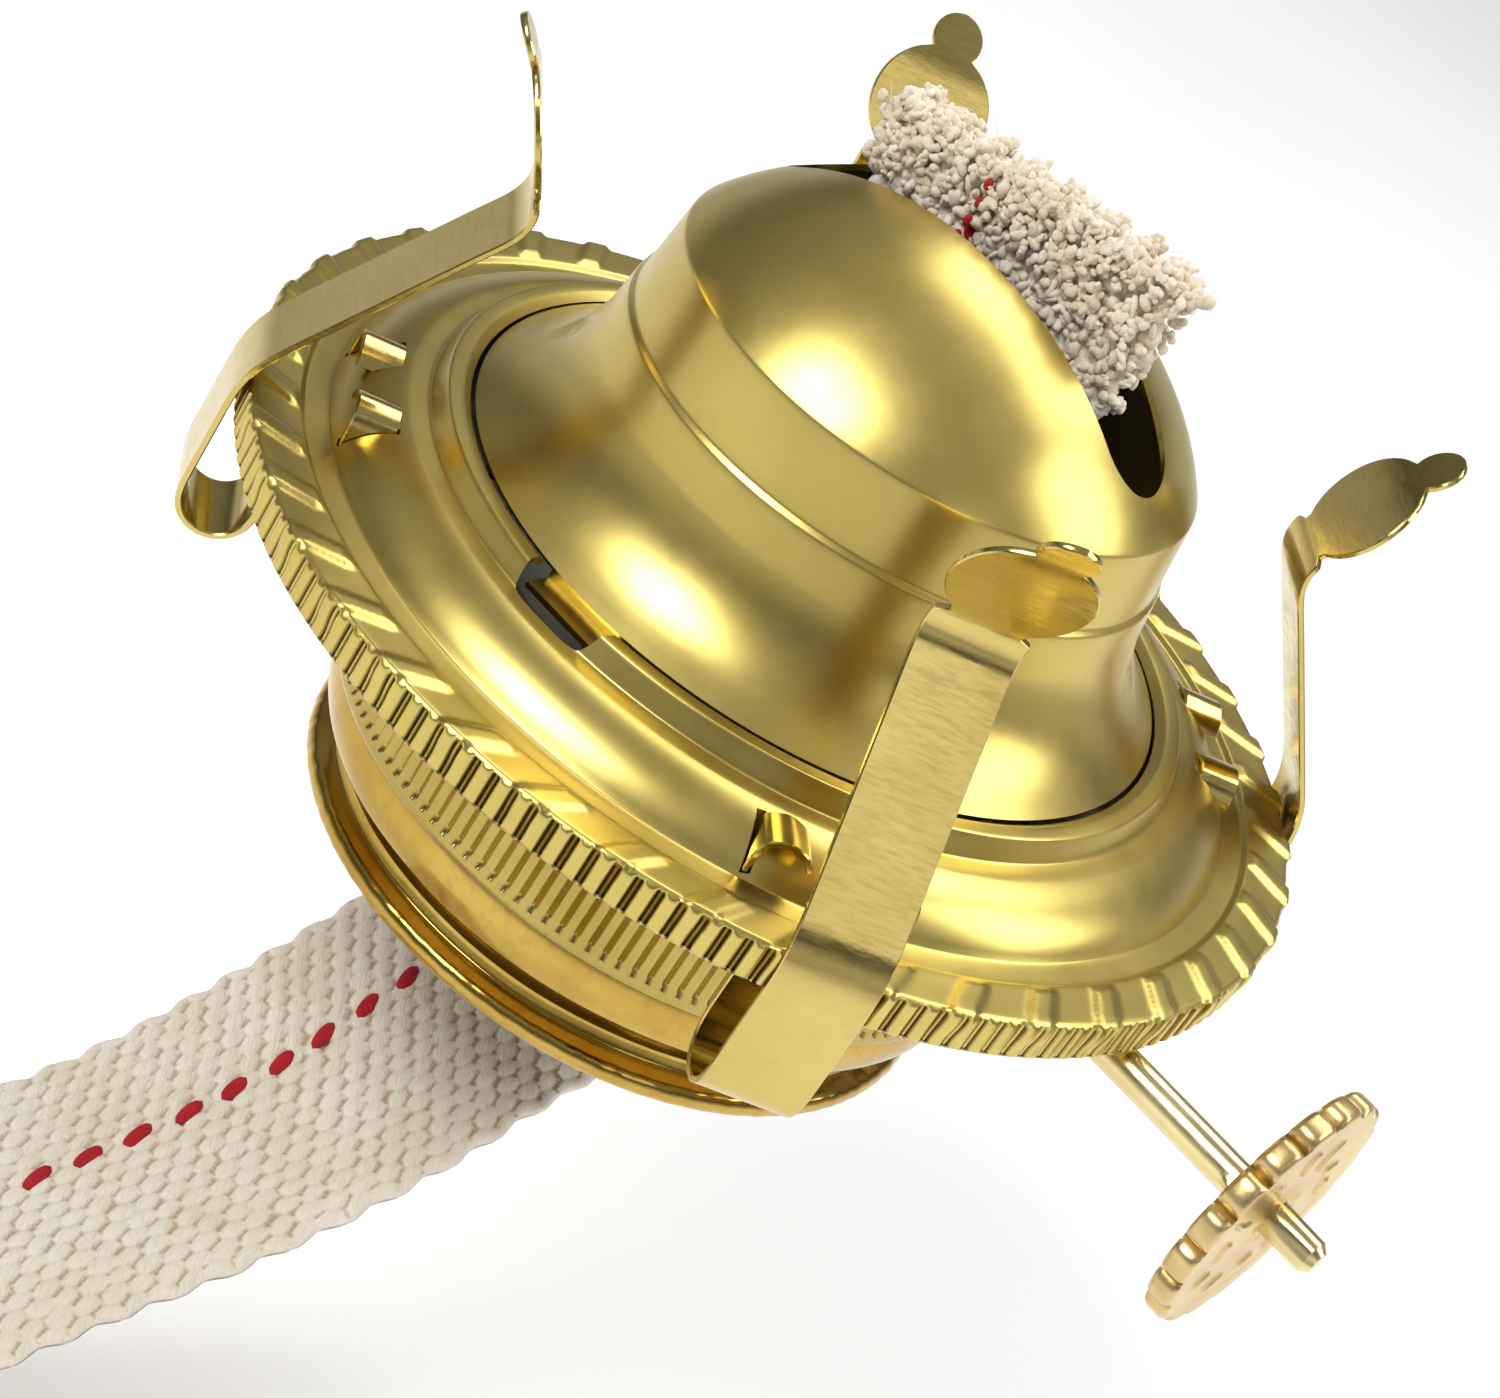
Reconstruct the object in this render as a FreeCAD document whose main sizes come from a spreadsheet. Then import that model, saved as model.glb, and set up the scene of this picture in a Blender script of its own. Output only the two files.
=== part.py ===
"""Flat-wick oil-lamp burner: brass collar, burner with four chimney prongs, lift-off dome and wick raiser.

Frame: +Z up the burner's axis, origin on the axis at the underside of the collar's bead. +X runs along the
wick's width and along the raiser shaft, towards the thumb wheel. Millimetres and degrees.
"""
import FreeCAD, Part
import math
import os
import Sketcher
from FreeCAD import Placement, Rotation, Vector

SIZES = {
    # sheet metal and fits
    "wall": 0.5,
    "running_gap": 0.05,
    "press_gap": 0.02,
    # collar: rolled bead, waist, rounded band, flat top and threaded throat
    "collar_wall": 0.6,
    "bead_edge_radius": 25.8,
    "bead_height": 2.0,
    "waist_radius": 25.5,
    "waist_height": 4.2,
    "band_radius": 27.3,
    "band_height": 6.0,
    "band_bulge": 5.0,
    "collar_top_radius": 27.5,
    "collar_height": 10.2,
    "throat_radius": 15.9,
    "throat_bottom": 1.0,
    # screwed shell of the burner, which turns in the throat
    "screw_radius": 15.6,
    "screw_flange_radius": 18.5,
    "drip_plate_height": 9.5,
    # burner body: upright fluted band and cone, up to the underside of the gallery
    "body_gap": 0.1,
    "flute_radius": 28.7,
    "flute_top": 16.8,
    "cone_radius": 37.5,
    "cone_top": 25.7,
    "body_top": 27.65,
    "air_hole_radius": 1.3,
    "air_hole_circle": 33.0,
    # gallery: dished plate with a raised ring, a chimney seat, a border and a reeded rim
    "opening_radius": 28.6,
    "opening_height": 32.9,
    "ring_inner_radius": 29.3,
    "ring_outer_radius": 30.5,
    "ring_height": 33.4,
    "valley_inner_radius": 31.2,
    "valley_outer_radius": 32.8,
    "valley_height": 31.6,
    "dish_bulge": 6.8,
    "seat_inner_radius": 37.3,
    "seat_outer_radius": 39.2,
    "seat_height": 28.2,
    "border_inner_radius": 39.5,
    "border_height": 28.5,
    "border_outer_radius": 42.6,
    "rim_radius": 43.4,
    "rim_top": 27.7,
    "rim_bottom": 25.6,
    "rim_lip": 0.5,
    "notch_width": 8.0,
    "notch_depth_radius": 31.5,
    # perforated air plate inside the body
    "air_plate_height": 29.0,
    "air_plate_flat_radius": 27.5,
    "air_plate_foot_radius": 32.6,
    "air_plate_foot_height": 26.5,
    "air_plate_edge_radius": 36.9,
    "air_plate_edge_height": 26.4,
    "air_plate_hole_radius": 0.8,
    # dome: flared skirt, stepped side and spherical cap with a long slot
    "dome_wall": 0.45,
    "dome_edge_radius": 27.9,
    "dome_edge_height": 33.0,
    "flare_bulge": 12.1,
    "flare_top_radius": 22.5,
    "flare_top": 41.0,
    "lower_step_radius": 22.0,
    "lower_step": 44.4,
    "step_depth": 0.35,
    "upper_step_radius": 20.9,
    "upper_step": 50.8,
    "cap_edge_radius": 20.0,
    "cap_centre": 36.6,
    "cap_sphere_radius": 25.25,
    "slot_corner": 15.0,
    "slot_corner_half": 3.8,
    "slot_side_bulge": 86.0,
    "slot_end_bulge": 3.82,
    "lug_width": 7.0,
    "lug_bottom": 31.2,
    "lug_reach": 29.6,
    # chimney prongs: strip bent from under the gallery, down, round and up past the rim
    "prong_width": 7.2,
    "prong_thickness": 0.5,
    "prong_root_height": 27.6,
    "inner_leg_radius": 38.4,
    "outer_leg_radius": 44.6,
    "bend_bottom": 15.5,
    "split_gap": 0.05,
    "ear_inner_radius": 33.2,
    "ear_outer_radius": 36.5,
    "ear_offset": 6.0,
    "ear_top": 32.4,
    "ear_hook": 4.5,
    "ear_clearance": 0.2,
    "shoulder_radius": 44.4,
    "shoulder_height": 28.0,
    "arm_knee_radius": 42.2,
    "arm_knee_height": 32.6,
    "arm_waist_radius": 32.6,
    "arm_waist_height": 46.5,
    "arm_bend_radius": 31.7,
    "arm_bend_height": 49.2,
    "finger_knee_radius": 35.3,
    "finger_knee_height": 56.5,
    "finger_tip_radius": 38.5,
    "finger_tip_height": 60.7,
    "finger_disc_radius": 4.9,
    "finger_disc_reach": 5.5,
    "finger_lobe_radius": 2.1,
    "finger_lobe_reach": 11.3,
    "finger_neck_width": 3.4,
    # wick raiser: shaft, toothed wheels and thumb wheel
    "shaft_radius": 1.4,
    "shaft_offset": 4.5,
    "shaft_height": 23.3,
    "shaft_start": -12.5,
    "shaft_end": 61.7,
    "wheel_tip_radius": 3.1,
    "wheel_root_radius": 2.3,
    "wheel_width": 1.2,
    "thumb_radius": 10.3,
    "thumb_width": 2.0,
    "thumb_start": 55.4,
    "scallop_radius": 1.1,
    "bush_radius": 1.9,
    "bush_start": 32.8,
    "bush_length": 5.0,
    "lug_offset": 7.0,
    "lug_thickness": 1.0,
    "lug_depth": 4.6,
    "lug_height": 6.4,
    # wick and the tubes it and the fuel vapour pass through
    "wick_width": 25.4,
    "wick_thickness": 2.6,
    "wick_shift": -0.2,
    "wick_split": 4.0,
    "wick_low_corner": 62.0,
    "wick_high_corner": 67.0,
    "tube_half_width": 13.9,
    "tube_half_gap": 1.7,
    "tube_wall": 0.4,
    "tube_bottom": 9.0,
    "tube_top": 52.5,
    "vent_radius": 1.8,
    "vent_wall": 0.3,
    "vent_offset": 4.2,
    "vent_bottom": 7.5,
    "vent_top": 31.0,
    # the wick's tail: straight drop, one bend, then a long sloping run
    "tail_corner_height": -17.2,
    "tail_bend_radius": 9.0,
    "tail_slope": 26.8,
    "tail_run": 91.5,
    "tail_drift": -4.1,
    "tail_roll": -5.0,
    "tail_veer": 14.0,
}

PRONG_AZIMUTHS = (45.0, 135.0, 225.0, 315.0)
WHEEL_PLACES = (-10.0, -4.0, 4.0, 10.0)
WHEEL_TEETH = 12
THUMB_SCALLOPS = 18
AIR_HOLES = 20
# The holes start a little off the X axis, which keeps them clear of the hole for the shaft.
AIR_HOLE_START = 2.0
AIR_PLATE_RINGS = ((18.0, 24), (21.5, 30), (25.0, 36))
TAIL_BEND_STEPS = 6
TAIL_RUN_STEPS = 8
TAIL_VEER_STEPS = 2
OVERSHOOT = 1.0
# A rounded end's radius over its width: just over a half, because a sketch can't solve an exact half circle.
NEARLY_HALF = 0.505
FULL_TURN = 360.0

document = FreeCAD.newDocument("Burner")
sheet = document.addObject("Spreadsheet::Sheet", "Sizes")
for row, (alias, number) in enumerate(SIZES.items(), start=1):
    sheet.set(f"A{row}", alias)
    sheet.set(f"B{row}", str(number))
    sheet.setAlias(f"B{row}", alias)
document.recompute()
subparts = []


class Size:
    """A number worked out from the sheet, with the expression that keeps a property bound to it."""

    def __init__(self, value, text):
        self.value = value
        self.text = text

    def __add__(self, other):
        other = as_size(other)
        return Size(self.value + other.value, f"({self.text} + {other.text})")

    def __sub__(self, other):
        other = as_size(other)
        return Size(self.value - other.value, f"({self.text} - {other.text})")

    def __mul__(self, other):
        other = as_size(other)
        return Size(self.value * other.value, f"({self.text} * {other.text})")

    def __neg__(self):
        return self * -1.0


def as_size(thing):
    """A Size as it is, or a plain number as a Size."""
    if isinstance(thing, Size):
        return thing
    return Size(float(thing), f"({round(float(thing), 6)})")


def size(alias):
    """The sheet's cell with this alias."""
    return Size(float(sheet.get(alias)), f"Sizes.{alias}")


def number(alias):
    """The value of the sheet's cell with this alias."""
    return float(sheet.get(alias))


def finish(piece, label):
    """Name a finished sub-part, which also names its file."""
    piece.Label = label
    subparts.append(piece)
    return piece


# Outlines -----------------------------------------------------------------------------------------------


def arc_middle(start, end, bulge):
    """The middle of the short arc from start to end, bulging to the right of the way for a positive radius."""
    chord = end - start
    radius = abs(bulge)
    rise = radius - math.sqrt(radius**2 - (chord.Length / 2) ** 2)
    to_right = Vector(chord.y, -chord.x, 0).normalize()
    return (start + end) * 0.5 + to_right * math.copysign(rise, bulge)


def end_directions(start, end, bulge):
    """The way's direction as it leaves start and as it reaches end."""
    chord = (end - start).normalize()
    if bulge is None:
        return chord, chord
    half_turn = math.degrees(math.asin((end - start).Length / 2 / bulge))
    turn = Rotation(Vector(0, 0, 1), half_turn)
    return turn.inverted().multVec(chord), turn.multVec(chord)


def corner_parts(corner):
    """A corner's two sizes, and the radius of the arc that leaves it, if there is one."""
    across, up = as_size(corner[0]), as_size(corner[1])
    bulge = as_size(corner[2]) if len(corner) > 2 else None
    return across, up, bulge


def sheet_outline(path, wall):
    """Close an open path into the section of a sheet of this thickness, which lies to the path's left."""
    corners = [corner_parts(corner) for corner in path]
    points = [Vector(across.value, up.value, 0) for across, up, _ in corners]
    bulges = [bulge.value if bulge else None for _, _, bulge in corners]
    spans = [end_directions(points[i], points[i + 1], bulges[i]) for i in range(len(points) - 1)]
    back = []
    for i, (across, up, _) in enumerate(corners):
        arriving = spans[i - 1][1] if i > 0 else spans[0][0]
        leaving = spans[i][0] if i < len(spans) else spans[-1][1]
        to_left = Vector(-arriving.y - leaving.y, arriving.x + leaving.x, 0) * (1 / (1 + arriving.dot(leaving)))
        inner = [across + wall * round(to_left.x, 4), up + wall * round(to_left.y, 4)]
        before = corners[i - 1][2] if i > 0 else None
        if before is not None:
            inner.append(wall - before)
        back.append(tuple(inner))
    return [tuple(part for part in corner if part is not None) for corner in corners] + back[::-1]


def draw_loop(sketch, corners):
    """Draw a closed loop of lines and arcs and bind every corner and radius to its size."""
    parts = [corner_parts(corner) for corner in corners]
    points = [Vector(across.value, up.value, 0) for across, up, _ in parts]
    starts = []
    ends = []
    for i, (across, up, bulge) in enumerate(parts):
        start = points[i]
        end = points[(i + 1) % len(points)]
        if bulge is None:
            edge = sketch.addGeometry(Part.LineSegment(start, end), False)
        else:
            middle = arc_middle(start, end, bulge.value)
            edge = sketch.addGeometry(Part.Arc(start, middle, end), False)
        forwards = sketch.getPoint(edge, 1).distanceToPoint(start) < sketch.getPoint(edge, 2).distanceToPoint(start)
        starts.append((edge, 1 if forwards else 2))
        ends.append((edge, 2 if forwards else 1))
    for i, (across, up, bulge) in enumerate(parts):
        sketch.addConstraint(Sketcher.Constraint("Coincident", *ends[i - 1], *starts[i]))
        for kind, measure in (("DistanceX", across), ("DistanceY", up)):
            index = sketch.addConstraint(Sketcher.Constraint(kind, -1, 1, *starts[i], measure.value))
            sketch.setExpression(f"Constraints[{index}]", measure.text)
        if bulge is not None:
            index = sketch.addConstraint(Sketcher.Constraint("Radius", starts[i][0], abs(bulge.value)))
            sketch.setExpression(f"Constraints[{index}]", f"abs({bulge.text})")


def draw_circle(sketch, radius):
    """Draw a bound circle about the sketch's origin."""
    edge = sketch.addGeometry(Part.Circle(Vector(0, 0, 0), Vector(0, 0, 1), radius.value), False)
    sketch.addConstraint(Sketcher.Constraint("Coincident", edge, 3, -1, 1))
    index = sketch.addConstraint(Sketcher.Constraint("Radius", edge, radius.value))
    sketch.setExpression(f"Constraints[{index}]", radius.text)


def new_body(name):
    """A PartDesign body."""
    return document.addObject("PartDesign::Body", name)


def new_sketch(body, role, name):
    """A sketch on one of the body's own origin planes."""
    plane = next(feature for feature in body.Origin.OriginFeatures if feature.Role == role)
    sketch = body.newObject("Sketcher::SketchObject", name)
    sketch.AttachmentSupport = [(plane, "")]
    sketch.MapMode = "FlatFace"
    document.recompute()
    return sketch


def turned(name, corners):
    """A body turned about Z from a closed outline of (radius, height) corners."""
    body = new_body(name)
    sketch = new_sketch(body, "XZ_Plane", name + "_outline")
    draw_loop(sketch, corners)
    turn = body.newObject("PartDesign::Revolution", name + "_turn")
    turn.Profile = sketch
    turn.ReferenceAxis = (sketch, ["V_Axis"])
    turn.Angle = FULL_TURN
    document.recompute()
    return body


def pressed(name, path, wall):
    """A pressing of even thickness, turned about Z. Its outer face follows the path."""
    return turned(name, sheet_outline(path, wall))


def padded(name, role, loops, length):
    """A body padded from closed loops, half to each side of the plane."""
    body = new_body(name)
    sketch = new_sketch(body, role, name + "_outline")
    for corners in loops:
        draw_loop(sketch, corners)
    pad = body.newObject("PartDesign::Pad", name + "_pad")
    pad.Profile = sketch
    pad.Midplane = True
    pad.setExpression("Length", length.text)
    document.recompute()
    return body


# Tools that cut holes, and booleans -----------------------------------------------------------------------


def block(name, low, high, azimuth=0.0):
    """A block between two corners given as sizes, turned about Z by an azimuth."""
    low = [as_size(value) for value in low]
    high = [as_size(value) for value in high]
    box = document.addObject("Part::Box", name)
    for side, start, end in zip(("Length", "Width", "Height"), low, high):
        box.setExpression(side, (end - start).text)
    turn = Rotation(Vector(0, 0, 1), azimuth)
    box.Placement = Placement(turn.multVec(Vector(*(value.value for value in low))), turn)
    return box


def rod(name, radius, length, foot, direction=Vector(0, 0, 1)):
    """A cylinder from its foot point along a direction."""
    cylinder = document.addObject("Part::Cylinder", name)
    cylinder.setExpression("Radius", radius.text)
    cylinder.setExpression("Height", as_size(length).text)
    cylinder.Placement = Placement(foot, Rotation(Vector(0, 0, 1), direction))
    return cylinder


def cut(name, base, tools):
    """The base with the tools taken away."""
    tool = tools[0]
    if len(tools) > 1:
        tool = document.addObject("Part::Compound", name + "_tools")
        tool.Links = tools
    result = document.addObject("Part::Cut", name)
    result.Base = base
    result.Tool = tool
    document.recompute()
    return result


def joined(name, shapes):
    """The shapes as one solid."""
    result = document.addObject("Part::MultiFuse", name)
    result.Shapes = shapes
    document.recompute()
    return result


# Collar and burner shells -----------------------------------------------------------------------------------


def make_collar():
    """The collar that stays on the lamp: bead, waist, rounded band, flat top, throat."""
    bead = turned("collar_bead_ring", [
        (size("bead_edge_radius") - size("bead_height") * 0.5, 0),
        (size("bead_edge_radius"), 0, size("bead_height") * NEARLY_HALF),
        (size("bead_edge_radius"), size("bead_height")),
        (size("bead_edge_radius") - size("bead_height") * 0.5, size("bead_height")),
    ])
    skirt = pressed("collar_skirt", [
        (size("waist_radius"), size("bead_height") * 0.5),
        (size("waist_radius"), size("waist_height")),
        (size("band_radius"), size("band_height"), size("band_bulge")),
        (size("collar_top_radius"), size("collar_height")),
        (size("throat_radius"), size("collar_height")),
        (size("throat_radius"), size("throat_bottom")),
    ], size("collar_wall"))
    finish(joined("collar_joined", [bead, skirt]), "collar")


def make_screw_shell():
    """The screwed shell under the burner, with the flange that carries it."""
    top = size("collar_height") + size("body_gap") + size("wall") * 2
    shell = pressed("screw_shell_turned", [
        (size("screw_radius"), size("throat_bottom")),
        (size("screw_radius"), top - size("wall")),
        (size("screw_flange_radius"), top - size("wall")),
    ], size("wall"))
    finish(shell, "screw_shell")


def make_drip_plate():
    """The plate across the screwed shell, pierced for the wick tube and the vent tube."""
    plate = turned("drip_plate_blank", disc_outline(
        size("screw_radius") - size("wall") - size("press_gap"), size("drip_plate_height"), size("wall")))
    finish(cut("drip_plate_cut", plate, tube_passages("drip_plate")), "drip_plate")


def disc_outline(radius, bottom, thickness):
    """The outline of a flat disc."""
    return [
        (0, bottom),
        (radius, bottom),
        (radius, bottom + thickness),
        (0, bottom + thickness),
    ]


def tube_passages(name):
    """Tools that open a plate for the wick tube and the vent tube."""
    half_width = size("tube_half_width") + size("tube_wall") + size("press_gap")
    half_depth = size("tube_half_gap") + size("tube_wall") + size("press_gap")
    slot = block(name + "_wick_passage", (-half_width, -half_depth, 0), (half_width, half_depth, size("tube_top")))
    vent = rod(name + "_vent_passage", size("vent_radius") + size("press_gap"), size("tube_top"),
               Vector(0, number("vent_offset"), 0))
    return [slot, vent]


def make_body_shell():
    """The burner's outer shell: floor, upright band and cone, with air holes and the shaft's hole."""
    floor = size("collar_height") + size("body_gap")
    shell = pressed("body_shell_turned", [
        (size("screw_radius") + size("body_gap"), floor),
        (size("flute_radius"), floor),
        (size("flute_radius"), size("flute_top")),
        (size("cone_radius"), size("cone_top")),
        (size("cone_radius"), size("body_top")),
    ], size("wall"))
    tools = []
    slope = math.atan2(number("cone_top") - number("flute_top"), number("cone_radius") - number("flute_radius"))
    hole_height = number("flute_top") + (number("air_hole_circle") - number("flute_radius")) * math.tan(slope)
    for i in range(AIR_HOLES):
        azimuth = AIR_HOLE_START + FULL_TURN * i / AIR_HOLES
        turn = Rotation(Vector(0, 0, 1), azimuth)
        outward = turn.multVec(Vector(math.sin(slope), 0, -math.cos(slope)))
        centre = turn.multVec(Vector(number("air_hole_circle"), 0, hole_height))
        tools.append(rod(f"air_hole_{i + 1}", size("air_hole_radius"), 4 * OVERSHOOT,
                         centre - outward * 2 * OVERSHOOT, outward))
    tools.append(rod("bush_seat", size("bush_radius") + size("press_gap"), size("shaft_end"),
                     Vector(0, -number("shaft_offset"), number("shaft_height")), Vector(1, 0, 0)))
    half = size("ear_offset") + size("prong_thickness") + size("ear_clearance")
    for i, azimuth in enumerate(PRONG_AZIMUTHS):
        tools.append(block(
            f"prong_gate_{i + 1}",
            (size("ear_inner_radius"), -half, size("prong_root_height") - size("wall") - size("ear_clearance")),
            (size("outer_leg_radius"), half, size("ear_top")), azimuth))
    finish(cut("body_shell_cut", shell, tools), "body_shell")


def make_gallery():
    """The dished gallery that carries the dome and the chimney, slotted for the dome's lugs and the prongs."""
    plate = pressed("gallery_turned", [
        (size("rim_radius") - size("rim_lip"), size("rim_bottom") - size("rim_lip")),
        (size("rim_radius"), size("rim_bottom")),
        (size("rim_radius"), size("rim_top")),
        (size("border_outer_radius"), size("border_height")),
        (size("border_inner_radius"), size("border_height")),
        (size("seat_outer_radius"), size("seat_height")),
        (size("seat_inner_radius"), size("seat_height"), size("dish_bulge")),
        (size("valley_outer_radius"), size("valley_height")),
        (size("valley_inner_radius"), size("valley_height")),
        (size("ring_outer_radius"), size("ring_height")),
        (size("ring_inner_radius"), size("ring_height")),
        (size("opening_radius"), size("opening_height")),
    ], size("wall"))
    tools = []
    half_notch = size("notch_width") * 0.5
    for i, azimuth in enumerate((90.0, 270.0)):
        tools.append(block(
            f"lug_notch_{i + 1}", (size("flare_top_radius"), -half_notch, size("seat_height")),
            (size("notch_depth_radius"), half_notch, size("ear_top") + 2 * OVERSHOOT), azimuth))
    half_slot = size("prong_thickness") * 0.5 + size("ear_clearance")
    for i, azimuth in enumerate(PRONG_AZIMUTHS):
        for side in (-1.0, 1.0):
            middle = size("ear_offset") * side
            tools.append(block(
                f"ear_slot_{i + 1}_{'left' if side < 0 else 'right'}",
                (size("ear_inner_radius") - size("ear_clearance"), middle - half_slot, size("rim_bottom")),
                (size("ear_outer_radius") + size("ear_clearance"), middle + half_slot, size("ear_top")), azimuth))
    finish(cut("gallery_cut", plate, tools), "gallery")


def make_air_plate():
    """The perforated plate that spreads the air round the wick tube."""
    plate = pressed("air_plate_turned", [
        (size("air_plate_edge_radius"), size("air_plate_edge_height")),
        (size("air_plate_foot_radius"), size("air_plate_foot_height")),
        (size("air_plate_flat_radius"), size("air_plate_height")),
        (0, size("air_plate_height")),
    ], size("wall"))
    tools = tube_passages("air_plate")
    for ring, (radius, count) in enumerate(AIR_PLATE_RINGS, start=1):
        for i in range(count):
            place = Rotation(Vector(0, 0, 1), FULL_TURN * i / count).multVec(Vector(radius, 0, number("cone_top")))
            tools.append(rod(f"air_plate_hole_{ring}_{i + 1}", size("air_plate_hole_radius"),
                             size("air_plate_height") - size("cone_top") + OVERSHOOT, place))
    finish(cut("air_plate_cut", plate, tools), "air_plate")


def make_dome():
    """The dome that shapes the flame: flared skirt, stepped side, slotted cap and two lugs on the edge."""
    body = pressed("dome_pressing", [
        (size("dome_edge_radius"), size("dome_edge_height"), -size("flare_bulge")),
        (size("flare_top_radius"), size("flare_top")),
        (size("lower_step_radius"), size("lower_step")),
        (size("lower_step_radius") - size("step_depth"), size("lower_step") + size("step_depth")),
        (size("upper_step_radius"), size("upper_step")),
        (size("cap_edge_radius"), size("cap_centre") + cap_rise(), size("cap_sphere_radius")),
        (0, size("cap_centre") + size("cap_sphere_radius")),
    ], size("dome_wall"))
    closed_volume = body.Shape.Volume
    slot = new_sketch(body, "XY_Plane", "dome_slot_outline")
    corner, half = size("slot_corner"), size("slot_corner_half")
    draw_loop(slot, [
        (-corner, -half, size("slot_side_bulge")),
        (corner, -half, size("slot_end_bulge")),
        (corner, half, size("slot_side_bulge")),
        (-corner, half, size("slot_end_bulge")),
    ])
    pocket = body.newObject("PartDesign::Pocket", "dome_slot")
    pocket.Profile = slot
    pocket.Type = "ThroughAll"
    pocket.Reversed = True
    document.recompute()
    if body.Shape.Volume >= closed_volume:
        raise RuntimeError("the dome's slot cuts nothing")
    shapes = [body]
    half_lug = size("lug_width") * 0.5
    lug_outer = size("dome_edge_radius") - size("dome_wall")
    for i, azimuth in enumerate((90.0, 270.0)):
        shapes.append(block(f"lug_{i + 1}_leg",
                            (lug_outer - size("dome_wall"), -half_lug, size("lug_bottom")),
                            (lug_outer, half_lug, size("dome_edge_height") + size("dome_wall") * 0.5), azimuth))
        shapes.append(block(f"lug_{i + 1}_foot",
                            (lug_outer - size("dome_wall"), -half_lug, size("lug_bottom")),
                            (size("lug_reach"), half_lug, size("lug_bottom") + size("dome_wall")), azimuth))
    finish(joined("dome_joined", shapes), "dome")


def cap_rise():
    """How far the cap's lower edge stands above the centre of its sphere."""
    value = math.sqrt(number("cap_sphere_radius") ** 2 - number("cap_edge_radius") ** 2)
    return Size(value, "sqrt(Sizes.cap_sphere_radius ^ 2 - Sizes.cap_edge_radius ^ 2)")


# Chimney prongs -----------------------------------------------------------------------------------------------


def rounded(corners):
    """The path through corners (radius, height, bend) with each bend drawn as an arc of its own radius."""
    points = [Vector(corner[0], corner[1], 0) for corner in corners]
    path = [(points[0].x, points[0].y)]
    for before, corner, after, (_, _, bend) in zip(points, points[1:], points[2:], corners[1:-1]):
        arriving = (corner - before).normalize()
        leaving = (after - corner).normalize()
        cut_back = bend * math.tan(arriving.getAngle(leaving) / 2)
        start = corner - arriving * cut_back
        end = corner + leaving * cut_back
        path.append((start.x, start.y, math.copysign(bend, arriving.cross(leaving).z)))
        path.append((end.x, end.y))
    path.append((points[-1].x, points[-1].y))
    return path


def bent_strip(name, corners, width):
    """A strip bent along the corners, with its metal to the left of the way."""
    return padded(name, "XZ_Plane", [sheet_outline(rounded(corners), size("prong_thickness"))], width)


def make_prong_base():
    """Root plate with its two hooked ears, the inner leg and half of the bend at the bottom."""
    thickness = number("prong_thickness")
    face = number("inner_leg_radius") + thickness
    bend = (number("outer_leg_radius") - number("inner_leg_radius")) / 2 - thickness
    bottom = number("bend_bottom") + thickness
    strip = bent_strip("prong_root_strip", [
        (face + bend - number("split_gap") / 2, bottom, 0),
        (face, bottom, bend - number("split_gap")),
        (face, number("prong_root_height"), thickness * 1.2),
        (number("ear_outer_radius") - thickness, number("prong_root_height"), 0),
    ], size("prong_width"))
    inner, outer = size("ear_inner_radius"), size("ear_outer_radius")
    top = size("ear_top")
    root = size("prong_root_height") - size("prong_thickness")
    reach = size("ear_offset") + size("prong_thickness") * 0.5
    pieces = [strip, block("prong_root_plate", (inner, -reach, root), (outer, reach, root + size("prong_thickness")))]
    for side, low, high in (("left", -reach, -reach + size("ear_hook")), ("right", reach - size("ear_hook"), reach)):
        wall = low if side == "left" else high - size("prong_thickness")
        pieces.append(block(f"prong_ear_{side}", (inner, wall, root), (outer, wall + size("prong_thickness"), top)))
        pieces.append(block(f"prong_hook_{side}", (inner, low, top - size("prong_thickness")), (outer, high, top)))
    return joined("prong_root", pieces)


def make_prong_arm():
    """Outer half of the bend, the spring arm, and the finger that grips the chimney, a disc with a lobe."""
    bend = (number("outer_leg_radius") - number("inner_leg_radius")) / 2
    middle = number("inner_leg_radius") + bend
    strip = bent_strip("prong_arm_strip", [
        (middle + number("split_gap") / 2, number("bend_bottom"), 0),
        (number("outer_leg_radius"), number("bend_bottom"), bend - 2 * number("split_gap")),
        (number("shoulder_radius"), number("shoulder_height"), 6.0),
        (number("arm_knee_radius"), number("arm_knee_height"), 5.0),
        (number("arm_waist_radius"), number("arm_waist_height"), 6.0),
        (number("arm_bend_radius"), number("arm_bend_height"), 1.2),
        (number("finger_knee_radius"), number("finger_knee_height"), 5.0),
        (number("finger_tip_radius"), number("finger_tip_height"), 0),
    ], size("finger_disc_radius") * 2)
    start = Vector(number("arm_bend_radius"), 0, number("arm_bend_height"))
    knee = Vector(number("finger_knee_radius"), 0, number("finger_knee_height"))
    along = (knee - start).normalize()
    through = Vector(along.z, 0, -along.x)
    reach = size("finger_lobe_reach")
    half = size("prong_width") * 0.5
    stem = block("finger_stem", (size("arm_bend_radius") - reach, -half, 0),
                 (size("outer_leg_radius") + reach, half, size("arm_bend_height") + size("finger_lobe_radius")))
    outline = [stem]
    places = {}
    for name in ("disc", "lobe"):
        places[name] = start + along * number(f"finger_{name}_reach") - through * reach.value
        outline.append(rod(f"finger_{name}", size(f"finger_{name}_radius"), reach * 2, places[name], through))
    neck = document.addObject("Part::Box", "finger_neck")
    neck.setExpression("Length", "Sizes.finger_lobe_reach - Sizes.finger_disc_reach")
    neck.setExpression("Width", "Sizes.finger_neck_width")
    neck.setExpression("Height", (reach * 2).text)
    neck.Placement = Placement(places["disc"] - Vector(0, number("finger_neck_width") / 2, 0),
                               Rotation(along, Vector(0, 1, 0), through, "XYZ"))
    outline.append(neck)
    arm = document.addObject("Part::Common", "prong_arm")
    arm.Base = strip
    arm.Tool = joined("finger_outline", outline)
    document.recompute()
    return arm


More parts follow.
